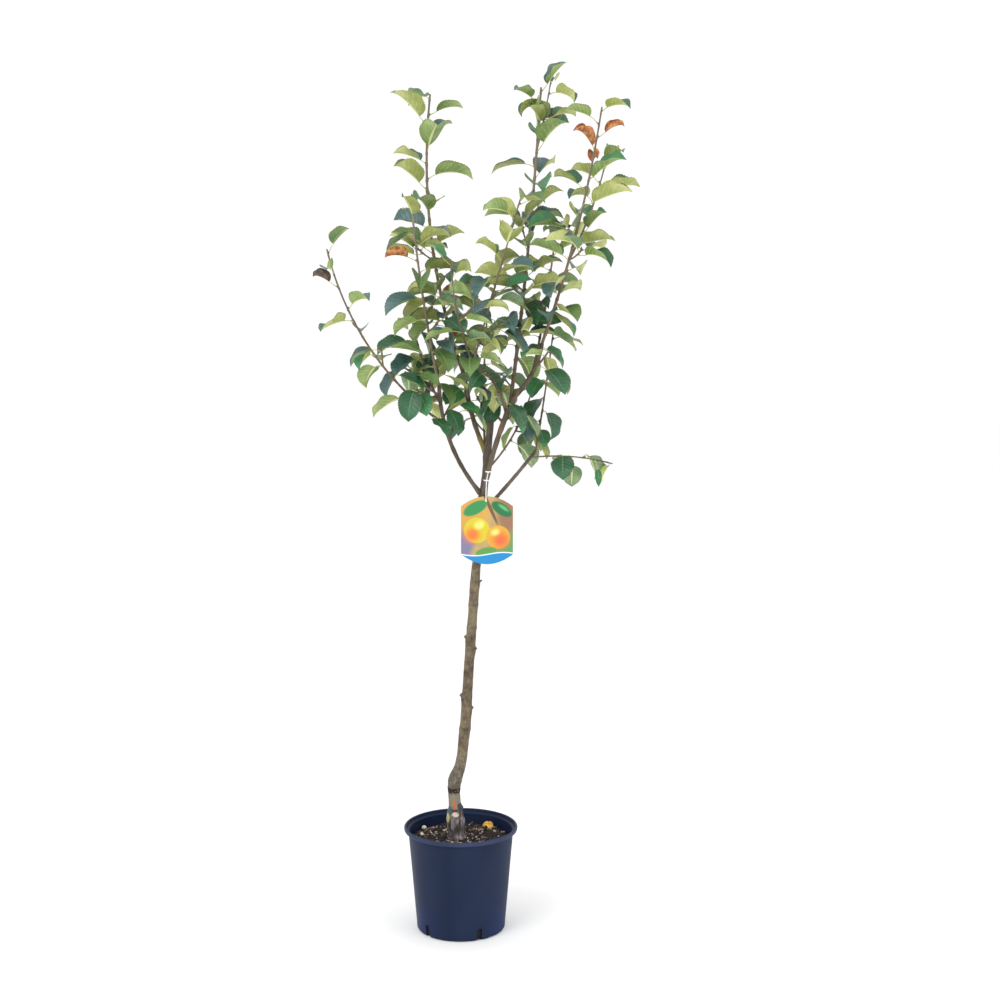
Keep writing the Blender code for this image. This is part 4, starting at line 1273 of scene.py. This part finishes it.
def build_soil(looks):
    """The root ball's soil down to the pot's floor, with a top of many rings."""
    reach = wall_radius(SOIL_TOP) - POT_WALL - 0.0004
    low = wall_radius(POT_FLOOR) - POT_WALL - 0.0012
    depth = SOIL_TOP - POT_FLOOR - 0.0004
    bm = bmesh.new()
    bmesh.ops.create_cone(
        bm, cap_ends=True, cap_tris=False, segments=108, radius1=low, radius2=reach, depth=depth
    )
    bmesh.ops.translate(bm, vec=(0, 0, POT_FLOOR + 0.0004 + depth / 2), verts=bm.verts)
    top = max(bm.faces, key=lambda face: face.calc_center_median().z)
    for _ in range(SOIL_RINGS):
        inset(bm, [top], reach / (SOIL_RINGS + 1.5))
    bmesh.ops.poke(bm, faces=[top])
    for vert in bm.verts:
        if vert.co.z > SOIL_TOP - 0.001:
            edge = math.hypot(vert.co.x, vert.co.y) > reach - 0.001
            vert.co.z = SOIL_TOP - 0.003 if edge else soil_height(vert.co.x, vert.co.y)
    fit("soil_bed", bm, [looks["potting_soil"]], 80, "potting_soil", "soil")


CHIP = [(x, y, z) for z in (-1, 1) for x, y in ((-1, -1), (1, -1), (1, 1), (-1, 1))]
CHIP_LOOKS = ("chip_dark", "chip_brown", "chip_pale")
CHIP_FACES = ((3, 2, 1, 0), (4, 5, 6, 7), (0, 1, 5, 4), (1, 2, 6, 5), (2, 3, 7, 6), (3, 0, 4, 7))


def scattered(rng, reach):
    """A place on the soil, clear of the trunk."""
    while True:
        x = rng.uniform(-reach, reach)
        y = rng.uniform(-reach, reach)
        if math.hypot(x, y) < reach and math.hypot(x - STEM_PLACE, y) > STEM_CLEAR:
            return x, y


def build_chips(looks):
    """Bark chips and fibres, lying flat or half sunk."""
    rng = random.Random("bark chips")
    batch = Batch()
    for index in range(CHIP_COUNT):
        x, y = scattered(rng, CHIP_REACH)
        fibre = index % FIBRE_EVERY == 0
        if fibre:
            half, wide, tall = rng.uniform(0.006, 0.011), 0.0006, 0.0005
        else:
            half = rng.uniform(0.0014, 0.0050) * rng.choice((0.7, 1.0, 1.25))
            wide, tall = half * rng.uniform(0.35, 0.75), rng.uniform(0.0005, 0.0014)
        turn = Matrix.Rotation(rng.uniform(0, math.tau), 3, "Z")
        turn = turn @ Matrix.Rotation(rng.gauss(0, 0.16 if fibre else 0.42), 3, "Y")
        turn = turn @ Matrix.Rotation(rng.gauss(0, 0.5), 3, "X")
        centre = Vector((x, y, soil_height(x, y) + rng.uniform(0.0, 0.0016)))
        points = []
        for a, b, c in CHIP:
            spread = [rng.uniform(0.65, 1.1) for _ in range(3)]
            corner = Vector((a * half * spread[0], b * wide * spread[1], c * tall * spread[2]))
            points.append(centre + turn @ corner)
        kind = rng.choices((0, 1, 2), (1, 3, 4) if fibre else (9, 3, 1.3))[0]
        batch.add(points, CHIP_FACES, kind)
    batch.fit("soil_chips", [looks[name] for name in CHIP_LOOKS], 20, "potting_soil")


def build_beads(looks):
    """Small pale beads of soil lightener, and two larger ones that show behind the rim."""
    rng = random.Random("beads")
    bm = bmesh.new()
    places = [
        (*scattered(rng, BEAD_REACH), rng.uniform(0.0008, 0.0017)) for _ in range(BEAD_COUNT)
    ]
    for x, y, radius in (*places, *BIG_BEADS):
        fineness = 2 if radius > 0.002 else 1
        ball = bmesh.ops.create_icosphere(bm, subdivisions=fineness, radius=radius)["verts"]
        for vert in ball:
            vert.co *= 1 + 0.16 * noise.noise(vert.co * 420 + Vector((x, y, 0)) * 900)
        bmesh.ops.translate(bm, vec=(x, y, soil_height(x, y) + radius * 0.55), verts=ball)
    fit("soil_beads", bm, [looks["soil_beads"]], 60, "potting_soil")


def build_scrap(looks):
    """A crumpled yellow scrap of dead leaf that lies at the right of the soil."""
    bm = bmesh.new()
    bmesh.ops.create_grid(bm, x_segments=14, y_segments=9, size=1.0)
    for vert in bm.verts:
        x, y = vert.co.x, vert.co.y
        ragged = 1 + 0.25 * noise.noise(Vector((x * 3, y * 3, 1.0)))
        wide = math.sqrt(max(0.05, 1 - 0.8 * x * x))
        rise = 0.0065 * (1 - x * x) + 0.004 * noise.noise(Vector((x * 2.2, y * 2.2, 7.0)))
        across, deep = 0.0115 * x * ragged, 0.0085 * y * wide * ragged
        vert.co = Vector((across, deep, 0.0016 + rise + 0.003 * y))
    spin(bm, bm.verts, SCRAP_TURN)
    bmesh.ops.translate(bm, vec=(*SCRAP_PLACE, soil_height(*SCRAP_PLACE)), verts=bm.verts)
    bmesh.ops.recalc_face_normals(bm, faces=bm.faces)
    bmesh.ops.solidify(bm, geom=bm.faces[:], thickness=0.0005)
    fit("fallen_scrap", bm, [looks["fallen_scrap"]], 60, "leaves")


# Trunk and boughs

# For each kind of wood: how many sides its skin has, and how far apart its rings stand
TRUNK_SKIN = (36, 0.0032)
BOUGH_SKIN = (20, 0.0034)
STUB_SKIN = (12, 0.0014)
SLANT = (-0.22, -0.20, 1.0)
CUT_DEPTH = 0.0042
GRAFT_PLACE = (-0.0110, -0.0168, 0.2496)
GRAFT_FACING = (-0.05, -0.80, 0.60)
GRAFT_HALF = (0.0066, 0.0052)
TAPE_STEPS = 64
TAPE_ROWS = 5
TAPE_SUNK = 0.0012


def bark_skin(path, sides, pitch, reach_of):
    """A limb's bark: a closed cylinder cut into rings, laid along the path and then swollen."""
    rings = max(8, round(path.length / pitch))
    bm = bmesh.new()
    bmesh.ops.create_cone(
        bm, cap_ends=True, cap_tris=False, segments=sides, radius1=1, radius2=1, depth=1
    )
    upright = [e for e in bm.edges if abs(e.verts[0].co.z - e.verts[1].co.z) > 0.5]
    bmesh.ops.subdivide_edges(bm, edges=upright, cuts=rings - 1, use_grid_fill=True)
    frames = {}
    for vert in bm.verts:
        ring = round((vert.co.z + 0.5) * rings)
        if ring not in frames:
            frames[ring] = (path.at(ring / rings), *sides_of(path.tangent(ring / rings)))
        centre, side, over = frames[ring]
        turn = math.atan2(vert.co.y, vert.co.x)
        out = side * math.cos(turn) + over * math.sin(turn)
        skin = centre + out * path.radius(ring / rings)
        vert.co = Vector(centre + out * reach_of(ring / rings, Vector(skin), out))
    bmesh.ops.recalc_face_normals(bm, faces=bm.faces)
    return bm


def worn_end(bm, centre):
    """Rounds a pruned end: the flat face is drawn in, sunk a little and given the second look."""
    ends = [f for f in bm.faces if len(f.verts) > 6]
    end = min(ends, key=lambda face: (face.calc_center_median() - Vector(centre)).length)
    size = math.sqrt(end.calc_area() / math.pi)
    inset(bm, [end], size * 0.12, size * 0.10)
    inset(bm, [end], size * 0.16, -size * 0.05)
    end.material_index = 1


def relief(skin, fine, coarse):
    """How far the bark stands out at a point: slow swells and small ridges."""
    slow = noise.noise(Vector((skin.x * 34, skin.y * 34, skin.z * 17)))
    quick = noise.noise(Vector((skin.x * 260, skin.y * 260, skin.z * 85)))
    return coarse * slow + fine * quick


# Rings and swellings of the trunk: height, how far out, how tall, and the side it faces
TRUNK_SWELLS = (
    (0.234, 0.0016, 0.012, None),
    (0.254, 0.0012, 0.006, 180),
    (0.2615, 0.0042, 0.0050, -12),
    (0.432, 0.0010, 0.006, None),
    (0.471, 0.0016, 0.010, 5),
    (0.497, 0.0018, 0.010, 178),
    (0.598, 0.0018, 0.010, -8),
    (0.622, 0.0018, 0.010, 185),
    (0.648, 0.0008, 0.005, None),
    (0.697, 0.0009, 0.006, None),
    (0.739, 0.0015, 0.009, 2),
    (0.862, 0.0018, 0.016, -71),
    (0.888, 0.0018, 0.014, 14),
    (0.923, 0.0024, 0.014, -160),
    (1.008, 0.0028, 0.014, 138),
)


def stump_fissures(skin, out):
    """The old rootstock's upright ridges and cracks, below the graft."""
    old = min(1.0, max(0.0, (0.268 - skin.z) / 0.012))
    turn = math.atan2(out[1], out[0])
    ridge = noise.noise(Vector((math.cos(turn) * 4.5, math.sin(turn) * 4.5, skin.z * 22)))
    knot = noise.noise(Vector((skin.x * 95, skin.y * 95, skin.z * 60)))
    return old * (0.0019 * ridge + 0.0012 * knot)


def trunk_reach(path):
    def reach_of(share, skin, out):
        reach = path.radius(share) - 0.0004 + relief(skin, 0.00045, 0.0009)
        reach += stump_fissures(skin, out)
        for height, stand, tall, bearing in TRUNK_SWELLS:
            swell = stand * math.exp(-(((skin.z - height) / tall) ** 2))
            if bearing is not None:
                turn = math.radians(bearing)
                facing = out[0] * math.cos(turn) + out[1] * math.sin(turn)
                swell *= max(0.0, facing) ** 1.5
            reach += swell
        reach += 0.0022 * math.exp(-((skin.z - SOIL_TOP) / 0.010) ** 2)
        return reach

    return reach_of


def build_trunk(path, looks):
    """The trunk from just under the soil to its slanting pruned end."""
    bm = bark_skin(path, *TRUNK_SKIN, trunk_reach(path))
    top = path.at(1.0)
    cut = bmesh.ops.bisect_plane(
        bm, geom=bm.verts[:] + bm.edges[:] + bm.faces[:], clear_outer=True,
        plane_co=Vector(top) - Vector((0, 0, CUT_DEPTH)),
        plane_no=Vector(SLANT).normalized(),
    )
    rim = [item for item in cut["geom_cut"] if isinstance(item, bmesh.types.BMEdge)]
    bmesh.ops.edgeloop_fill(bm, edges=rim)
    worn_end(bm, top)
    for vert in bm.verts:
        if vert.co.z < SOIL_TOP + 0.001:
            vert.co.z -= 0.004
    bmesh.ops.recalc_face_normals(bm, faces=bm.faces)
    fit("trunk_bark", bm, [looks["trunk_bark"], looks["weathered_cut"]], 50, "bark", "trunk")


def build_stub(name, path, fine, coarse, look, looks):
    """A short tapering peg of wood with a worn end."""
    def reach_of(share, skin, out):
        return path.radius(share) + relief(skin, fine, coarse)

    bm = bark_skin(path, *STUB_SKIN, reach_of)
    worn_end(bm, path.at(1.0))
    fit(name, bm, [looks[look], looks["weathered_cut"]], 50, "bark")


def build_knobs(path, looks):
    """Old spur stubs on the trunk. The first row is the graft's shoulder, a part of the trunk."""
    for index, (height, bearing, reach, thick, thin) in enumerate(KNOBS[1:]):
        row = Limb("", "trunk", height, bearing, 66, bearing, 50, 1.0, thick * 1.15, thin)
        start = limb_start({"trunk": path}, row)
        reach += float(np.interp(height, path.points[:, 2], path.radii)) + 0.0012
        stub = grown_path(start, row._replace(length=reach))
        build_stub(f"trunk_stub_{index}", stub, 0.0003, 0.0005, "trunk_bark", looks)


def build_graft(path, looks):
    """The pale sloping cut at the graft, and the black band of tape above it."""
    bm = bmesh.new()
    bmesh.ops.create_circle(bm, cap_ends=True, cap_tris=False, segments=28, radius=1.0)
    disc = bm.faces[:]
    bmesh.ops.inset_region(bm, faces=disc, thickness=0.16, depth=0.0)
    bmesh.ops.inset_region(bm, faces=disc, thickness=0.5, depth=0.0)
    for vert in bm.verts:
        radius = vert.co.length
        lip = 0.0009 * math.exp(-(((radius - 0.92) / 0.12) ** 2))
        vert.co = Vector((vert.co.x * GRAFT_HALF[0], vert.co.y * GRAFT_HALF[1], lip))
    rim = [edge for edge in bm.edges if edge.is_boundary]
    skirt = bmesh.ops.extrude_edge_only(bm, edges=rim)["geom"]
    skirt = [item for item in skirt if isinstance(item, bmesh.types.BMVert)]
    bmesh.ops.translate(bm, vec=(0, 0, -0.006), verts=skirt)
    bmesh.ops.scale(bm, vec=(1.25, 1.3, 1.0), verts=skirt)
    bmesh.ops.contextual_create(bm, geom=[edge for edge in bm.edges if edge.is_boundary])
    tilt = Vector(GRAFT_FACING).to_track_quat("Z", "Y").to_matrix()
    bmesh.ops.rotate(bm, cent=(0, 0, 0), matrix=tilt, verts=bm.verts)
    bmesh.ops.translate(bm, vec=GRAFT_PLACE, verts=bm.verts)
    bmesh.ops.recalc_face_normals(bm, faces=bm.faces)
    fit("graft_cut", bm, [looks["cut_wood"]], 60, "bark")
    build_tape("tape_low", path, 0.2945, 0.3005, 0.0006, 0.12, looks["graft_tape"])
    build_tape("tape_high", path, 0.2990, 0.3045, 0.0010, -0.16, looks["graft_tape"])


def build_tape(name, path, low, high, stand, lean, material):
    """A wound band that follows the bark, a little askew."""
    reach_of = trunk_reach(path)
    steps, rows = TAPE_STEPS, TAPE_ROWS
    points = []
    for side, row, step in itertools.product((stand, -TAPE_SUNK), range(rows), range(steps)):
        turn = math.tau * step / steps
        out = np.array([math.cos(turn), math.sin(turn), 0.0])
        level = low + (high - low) * row / (rows - 1) + lean * 0.008 * math.cos(turn)
        if row in (0, rows - 1):
            ragged = Vector((out[0] * 3.6, out[1] * 3.6, low * 900 + row))
            level += 0.0016 * noise.noise(ragged)
        share = float(np.interp(level, path.points[:, 2], path.run)) / path.length
        centre = path.at(share)
        skin = Vector(centre + out * path.radius(share))
        ruck = 0.0003 * noise.noise(skin * 300) if side > 0 else 0
        points.append(centre + out * (reach_of(share, skin, out) + side + ruck))
    inner = rows * steps
    strips = [(row * steps, steps) for row in range(rows - 1)]
    strips += [(inner + row * steps, steps) for row in range(rows - 1)]
    strips += [(0, inner), ((rows - 1) * steps, inner)]
    faces = []
    for index, (first, climb) in enumerate(strips):
        flip = rows - 1 <= index <= 2 * (rows - 1)
        for step in range(steps):
            a, b = first + step, first + (step + 1) % steps
            a, b = (b, a) if flip else (a, b)
            faces.append((a, b, b + climb, a + climb))
    batch = Batch()
    batch.add(points, faces, 0)
    batch.fit(name, [material], 40, "bark")


def build_boughs(boughs, looks):
    """Each bough from inside what bears it, with a swollen collar at its foot."""
    for row in BOUGHS:
        path = boughs[row.name]

        def reach_of(share, skin, out, path=path, row=row):
            run = share * path.length
            reach = path.radius(share) * (1 + 0.05 * math.sin(run * 190 + row.length * 40))
            if row.parent == "trunk":
                reach += 0.0013 * math.exp(-(((run - 0.010) / 0.012) ** 2))
            elif row.at == 1.0:
                reach += 0.0008 * math.exp(-((run / 0.010) ** 2))
            return reach + relief(skin, 0.00030, 0.0006)

        bm = bark_skin(path, *BOUGH_SKIN, reach_of)
        fit(f"bark_{row.name}", bm, [looks["bough_bark"]], 50, "bark", f"bough_{row.name}")
    # The small broken snag on the right bough, just above the pruned end of the trunk
    snag = Limb("", "right", 0.80, -175, 58, -175, 40, 0.015, 0.0085, 0.0052)
    snag = grown_path(boughs["right"].at(snag.at), snag)
    build_stub("bough_snag", snag, 0.0006, 0.0006, "bough_bark", looks)


# Twigs and leaves

TWIG_SIDES = 8
TWIG_PITCH = 0.0065
TWIG_SLIM = 0.84
KNOT_SWELL = 0.36
BLADE_STEPS = 32
BLADE_COLUMNS = (-1.0, -0.72, -0.38, 0.0, 0.38, 0.72, 1.0)
LAST_COLUMN = len(BLADE_COLUMNS) - 1
BLADE_ROW = 2 * LAST_COLUMN
STALK_SIDES = 5
STALK_STEPS = 5
PARCHED_SIDE = 0.19
PARCHED_HEIGHT = 1.52
SHRUNKEN_SIDE = 0.268
SHRUNKEN_HEIGHT = 1.15
LEAF_LOOKS = (*FACES, *BACKS, "leaf_dry_rust", "leaf_dry_dark", "leaf_stalk")


def add_twig(batch, path, knots):
    """A twig with a swelling at each leaf, and its end pruned flat."""
    rings = max(4, round(path.length / TWIG_PITCH)) + 1
    shares = np.linspace(0, 1, rings)
    below, above = 0.0022 / path.length, 0.003 / path.length
    near = [(knot - below, knot, knot + above) for knot in knots]
    shares = np.unique(np.clip(np.concatenate([shares, *near]), 0, 1).round(5))
    keep = np.concatenate([[True], np.diff(shares) > 0.0011 / path.length])
    keep[-1] = True
    shares = shares[keep]
    centres = np.array([path.at(share) for share in shares])
    radii = TWIG_SLIM * np.array([path.radius(share) for share in shares])
    for knot in knots:
        radii *= 1 + KNOT_SWELL * np.exp(-(((shares - knot) * path.length / 0.0024) ** 2))
    radii *= 1 + 0.05 * np.array([noise.noise(Vector(centre * 90)) for centre in centres])
    batch.tube(centres, radii, TWIG_SIDES, 0)


def add_bud(batch, foot, course, out, length):
    """A pointed bud that leans on its twig."""
    aim = unit(course + 0.45 * out)
    centres = np.array([foot + aim * length * share for share in (-0.25, 0.1, 0.45, 0.8, 1.0)])
    radii = length * np.array([0.20, 0.34, 0.32, 0.16, 0.02])
    batch.tube(centres, radii, 6, 1)


def build_twigs(name, twigs, leaves, looks):
    batch = Batch()
    rng = random.Random(f"{name} buds")
    by_twig = {twig: [] for twig in twigs}
    for leaf in leaves:
        away = {twig: np.linalg.norm(twigs[twig].points - leaf.root, axis=1) for twig in twigs}
        twig = min(away, key=lambda twig: away[twig].min())
        path = twigs[twig]
        nearest = away[twig].argmin()
        low = max(0, nearest - 1)
        high = min(len(path.points) - 1, nearest + 1)
        span = path.points[high] - path.points[low]
        step = np.clip((leaf.root - path.points[low]) @ span / (span @ span), 0, 1)
        share = (path.run[low] + step * (path.run[high] - path.run[low])) / path.length
        by_twig[twig].append((share, leaf))
    for twig, path in twigs.items():
        add_twig(batch, path, sorted(share for share, _ in by_twig[twig]))
        for share, leaf in by_twig[twig]:
            course = path.tangent(share)
            out = unit(leaf.out - course * (leaf.out @ course))
            foot = path.at(share) + out * path.radius(share) * 0.9 + course * 0.0028
            add_bud(batch, foot, course, out, rng.uniform(0.0034, 0.0052))
    materials = [looks["twig_bark"], looks["bud_scales"]]
    batch.fit(f"twigs_{name}", materials, 50, "bark", f"foliage_{name}")


def blade_faces():
    """Faces of one blade: an upper and an under skin that share their rim, closed at both ends."""
    def top(i, j):
        return i * BLADE_ROW + j

    def under(i, j):
        return top(i, j) if j in (0, LAST_COLUMN) else top(i, LAST_COLUMN + j)

    faces, kinds = [], []
    for i in range(BLADE_STEPS):
        for j in range(LAST_COLUMN):
            faces.append((top(i, j), top(i, j + 1), top(i + 1, j + 1), top(i + 1, j)))
            kinds.append(0)
            faces.append((under(i, j + 1), under(i, j), under(i + 1, j), under(i + 1, j + 1)))
            kinds.append(1)
    for i, flip in ((0, False), (BLADE_STEPS, True)):
        for j in range(LAST_COLUMN):
            ring = [top(i, j + 1), top(i, j), under(i, j), under(i, j + 1)]
            ring = list(dict.fromkeys(ring))
            faces.append(tuple(ring[::-1] if flip else ring))
            kinds.append(1)
    return faces, kinds


BLADE_FACES, BLADE_KINDS = blade_faces()


def blade_lines(leaf, t):
    """Midrib points, sides and upper normals at many shares of the blade at once."""
    turn = math.radians(leaf.bearing)
    first = math.radians(leaf.rise)
    sag = math.radians(leaf.sag)
    now = first - sag * t
    flat = np.array([math.cos(turn), math.sin(turn), 0.0])
    up = np.array([0.0, 0.0, 1.0])
    run = (math.sin(first) - np.sin(now)) / sag
    climb = (np.cos(now) - math.cos(first)) / sag
    middle = leaf.base + leaf.length * (run[:, None] * flat + climb[:, None] * up)
    along = np.cos(now)[:, None] * flat + np.sin(now)[:, None] * up
    side = np.array([-math.sin(turn), math.cos(turn), 0.0])
    normal = np.cross(along, side)
    roll = np.radians(leaf.roll + leaf.twist * t)[:, None]
    turned_side = side * np.cos(roll) + normal * np.sin(roll)
    return middle, turned_side, normal * np.cos(roll) - side * np.sin(roll)


def add_blade(batch, leaf, rng, upper, lower):
    """One toothed blade, folded along its midrib, curved, waved and curled at its tip."""
    x = np.linspace(0, 1, BLADE_STEPS + 1)
    t = x**1.12
    middle, side, normal = blade_lines(leaf, t)
    tooth = np.where(np.arange(BLADE_STEPS + 1) % 2 == 1, 1.034, 0.966)
    drawn_out = 1 - 0.55 * np.clip((t - 0.80) / 0.20, 0, 1) ** 1.5
    reach = 0.5 * leaf.width * blade_outline(t) * tooth * drawn_out
    reach[0] = 0.0009
    reach[-1] = 0.0003
    fold = math.radians(leaf.fold)
    roll = 2.3 if leaf.withered else 0.0
    wave = rng.uniform(0.02, 0.065) * leaf.width
    phases = (rng.uniform(0, math.tau), rng.uniform(0, math.tau))
    waves = rng.uniform(1.2, 2.4)
    curl = leaf.length * rng.uniform(0.02, 0.10)
    drop = curl * np.clip((t - 0.72) / 0.28, 0, 1) ** 2
    body = np.clip(np.sin(math.pi * np.clip(t, 0.02, 1)), 0, 1)
    points = np.zeros((BLADE_STEPS + 1, BLADE_ROW, 3))
    marks = np.zeros((BLADE_STEPS + 1, BLADE_ROW, 2))
    for j, s in enumerate(BLADE_COLUMNS):
        bend = abs(s) ** 1.35
        lift = math.sin(fold) * reach * bend
        across = math.cos(fold) * reach * s
        if roll:
            lift = reach * (1 - math.cos(roll * s)) / roll
            across = reach * math.sin(roll * s) / roll
        flutter = wave * np.sin(math.tau * waves * t + phases[int(s > 0)]) * s * s * body
        surface = middle + across[:, None] * side + (lift + flutter - drop)[:, None] * normal
        thick = 0.5 * BLADE_THICK * (1 - s * s) * (0.25 + 0.75 * body)
        rib = 0.0009 * (s == 0) * (1 - 0.7 * t)
        points[:, j] = surface + thick[:, None] * normal
        marks[:, j] = np.stack([t, np.full_like(t, 0.5 + 0.5 * s)], 1)
        if 0 < j < LAST_COLUMN:
            points[:, LAST_COLUMN + j] = surface - (thick + rib)[:, None] * normal
            marks[:, LAST_COLUMN + j] = marks[:, j]
    kinds = [upper if kind == 0 else lower for kind in BLADE_KINDS]
    batch.add(points.reshape(-1, 3), BLADE_FACES, kinds, marks.reshape(-1, 2))


def add_stalk(batch, leaf, material):
    """A leaf's bowed stalk, thickest where it leaves the twig."""
    share = np.linspace(0, 1, STALK_STEPS)[:, None]
    bow = leaf.root + leaf.out * leaf.stalk * 0.55
    centres = leaf.root * (1 - share) ** 2 + 2 * bow * share * (1 - share) + leaf.base * share**2
    radii = np.array([1.7, 1.15, 0.95, 0.85, 0.8]) * STALK_RADIUS
    centres[-1] += (centres[-1] - centres[-2]) * 0.12
    batch.tube(centres, radii, STALK_SIDES, material)


def tints(leaf, rng):
    """Which greens a leaf has above and below, as lit and shaded copies by height: deep and darker
    in painted shade low down, olive, bluish and paler in painted light up high.
    """
    light = min(1.0, max(0.0, (leaf.root[2] - SHADE_HEIGHT) / (SUN_HEIGHT - SHADE_HEIGHT)))
    # Faces by height: more deep green low down as painted shade, and more olive and blue-green up
    # high as painted light.
    greens = (5 - 3 * light, 2 + 3 * light, 3 - light, 0.4 + 2.2 * light)
    upper = rng.choices((0, 1, 2, 3), greens)[0]
    # Backs by height: the painted sunlit back is more common up high, and the painted shade back is
    # more common low down.
    lower = rng.choices((4, 5, 6), (0.8 + 5 * light, 3, 3 - 2.6 * light))[0]
    if leaf.withered:
        upper = rng.choices((7, 8), (4, 1))[0]
        lower = upper
    return upper, lower


def is_parched(leaf, rng):
    """Some leaves in the full light at the right have dried and rolled up too."""
    return leaf.root[0] > PARCHED_SIDE and leaf.root[2] > PARCHED_HEIGHT and rng.random() < 0.2


def is_shrunken(leaf):
    """The leaves at the end of the low shoot hang narrow and half closed."""
    return leaf.root[0] > SHRUNKEN_SIDE and leaf.root[2] < SHRUNKEN_HEIGHT


def build_leaves(name, leaves, looks):
    batch = Batch()
    for index, leaf in enumerate(leaves):
        rng = random.Random(f"{name} blade {index}")
        if is_parched(leaf, rng):
            leaf = leaf._replace(withered=True, width=leaf.width * 0.8)
        upper, lower = tints(leaf, rng)
        if is_shrunken(leaf):
            leaf = leaf._replace(width=leaf.width * 0.5, fold=leaf.fold + 20)
            upper, lower = (3, 4) if index % 2 else (2, 5)
        add_blade(batch, leaf, rng, upper, lower)
        add_stalk(batch, leaf, 9)
    materials = [looks[look] for look in LEAF_LOOKS]
    batch.fit(
        f"leaves_{name}", materials, 60, "leaves", f"foliage_{name}", map_name="Blade"
    )


def build_crown(boughs, looks):
    for name, (twigs, leaves) in grow_crown(boughs).items():
        build_twigs(name, twigs, leaves, looks)
        build_leaves(name, leaves, looks)


# The hang tag keeps its solids, with looks of their own


def dress_tag(looks):
    for node, look in (("tag_card", "tag_card_print"), ("tag_strap", "strap_plastic")):
        for slot in frame["nodes"][node].material_slots:
            slot.material = looks[look]


# The studio, with the photograph's camera 3.5 m in front

CAMERA_PLACE = (0.083, -3.524, 1.377)
CAMERA_TILT = 7.45
FOCAL_SHARE = 1720 / 1000  # of the picture's width
SENSOR = 36.0
LIT_PLACE = (0.04, 0.0, 1.1)


def build_stage():
    look = Look("studio_floor", 0.9, {}, (0.955, 0.955, 0.955, 1.0))
    look.coat(grainy(look.tree, look.where, 3.0, detail=2.0), (0.965, 0.965, 0.965, 1.0))
    floor_look = look.finish()
    bm = bmesh.new()
    bmesh.ops.create_circle(bm, cap_ends=True, cap_tris=False, segments=96, radius=14.0)
    bmesh.ops.translate(bm, vec=(0, 0, -0.0004), verts=bm.verts)
    add_piece("studio_floor", mesh_of(bm, "studio_floor"), [floor_look])
    world = bpy.data.worlds.new("studio")
    world.use_nodes = True
    background = world.node_tree.nodes["Background"]
    background.inputs["Color"].default_value = (1.0, 1.0, 1.0, 1.0)
    background.inputs["Strength"].default_value = 1.05
    bpy.context.scene.world = world
    add_light("key", (-1.9, -2.4, 3.4), 2.2, 55.0)
    add_light("fill", (2.6, -1.6, 2.4), 2.6, 18.0)
    bpy.context.scene.view_settings.view_transform = "Standard"


def add_light(name, place_at, size, power):
    light = bpy.data.lights.new(name, "AREA")
    light.shape = "DISK"
    light.size = size
    light.energy = power
    obj = add_object(name, light)
    obj.location = place_at
    aim = Vector(LIT_PLACE) - Vector(place_at)
    obj.rotation_euler = aim.to_track_quat("-Z", "Y").to_euler()


def build_camera():
    camera = bpy.data.cameras.new("camera")
    camera.sensor_width = SENSOR
    camera.lens = FOCAL_SHARE * SENSOR
    obj = add_object("camera", camera)
    obj.location = CAMERA_PLACE
    obj.rotation_euler = (math.radians(90 - CAMERA_TILT), 0.0, 0.0)
    bpy.context.scene.camera = obj


def main():
    build_camera()
    build_stage()
    looks = build_materials()
    boughs = bough_paths()
    build_pot(looks)
    build_soil(looks)
    build_chips(looks)
    build_beads(looks)
    build_scrap(looks)
    build_trunk(boughs["trunk"], looks)
    build_knobs(boughs["trunk"], looks)
    build_graft(boughs["trunk"], looks)
    build_boughs(boughs, looks)
    build_crown(boughs, looks)
    dress_tag(looks)


main()
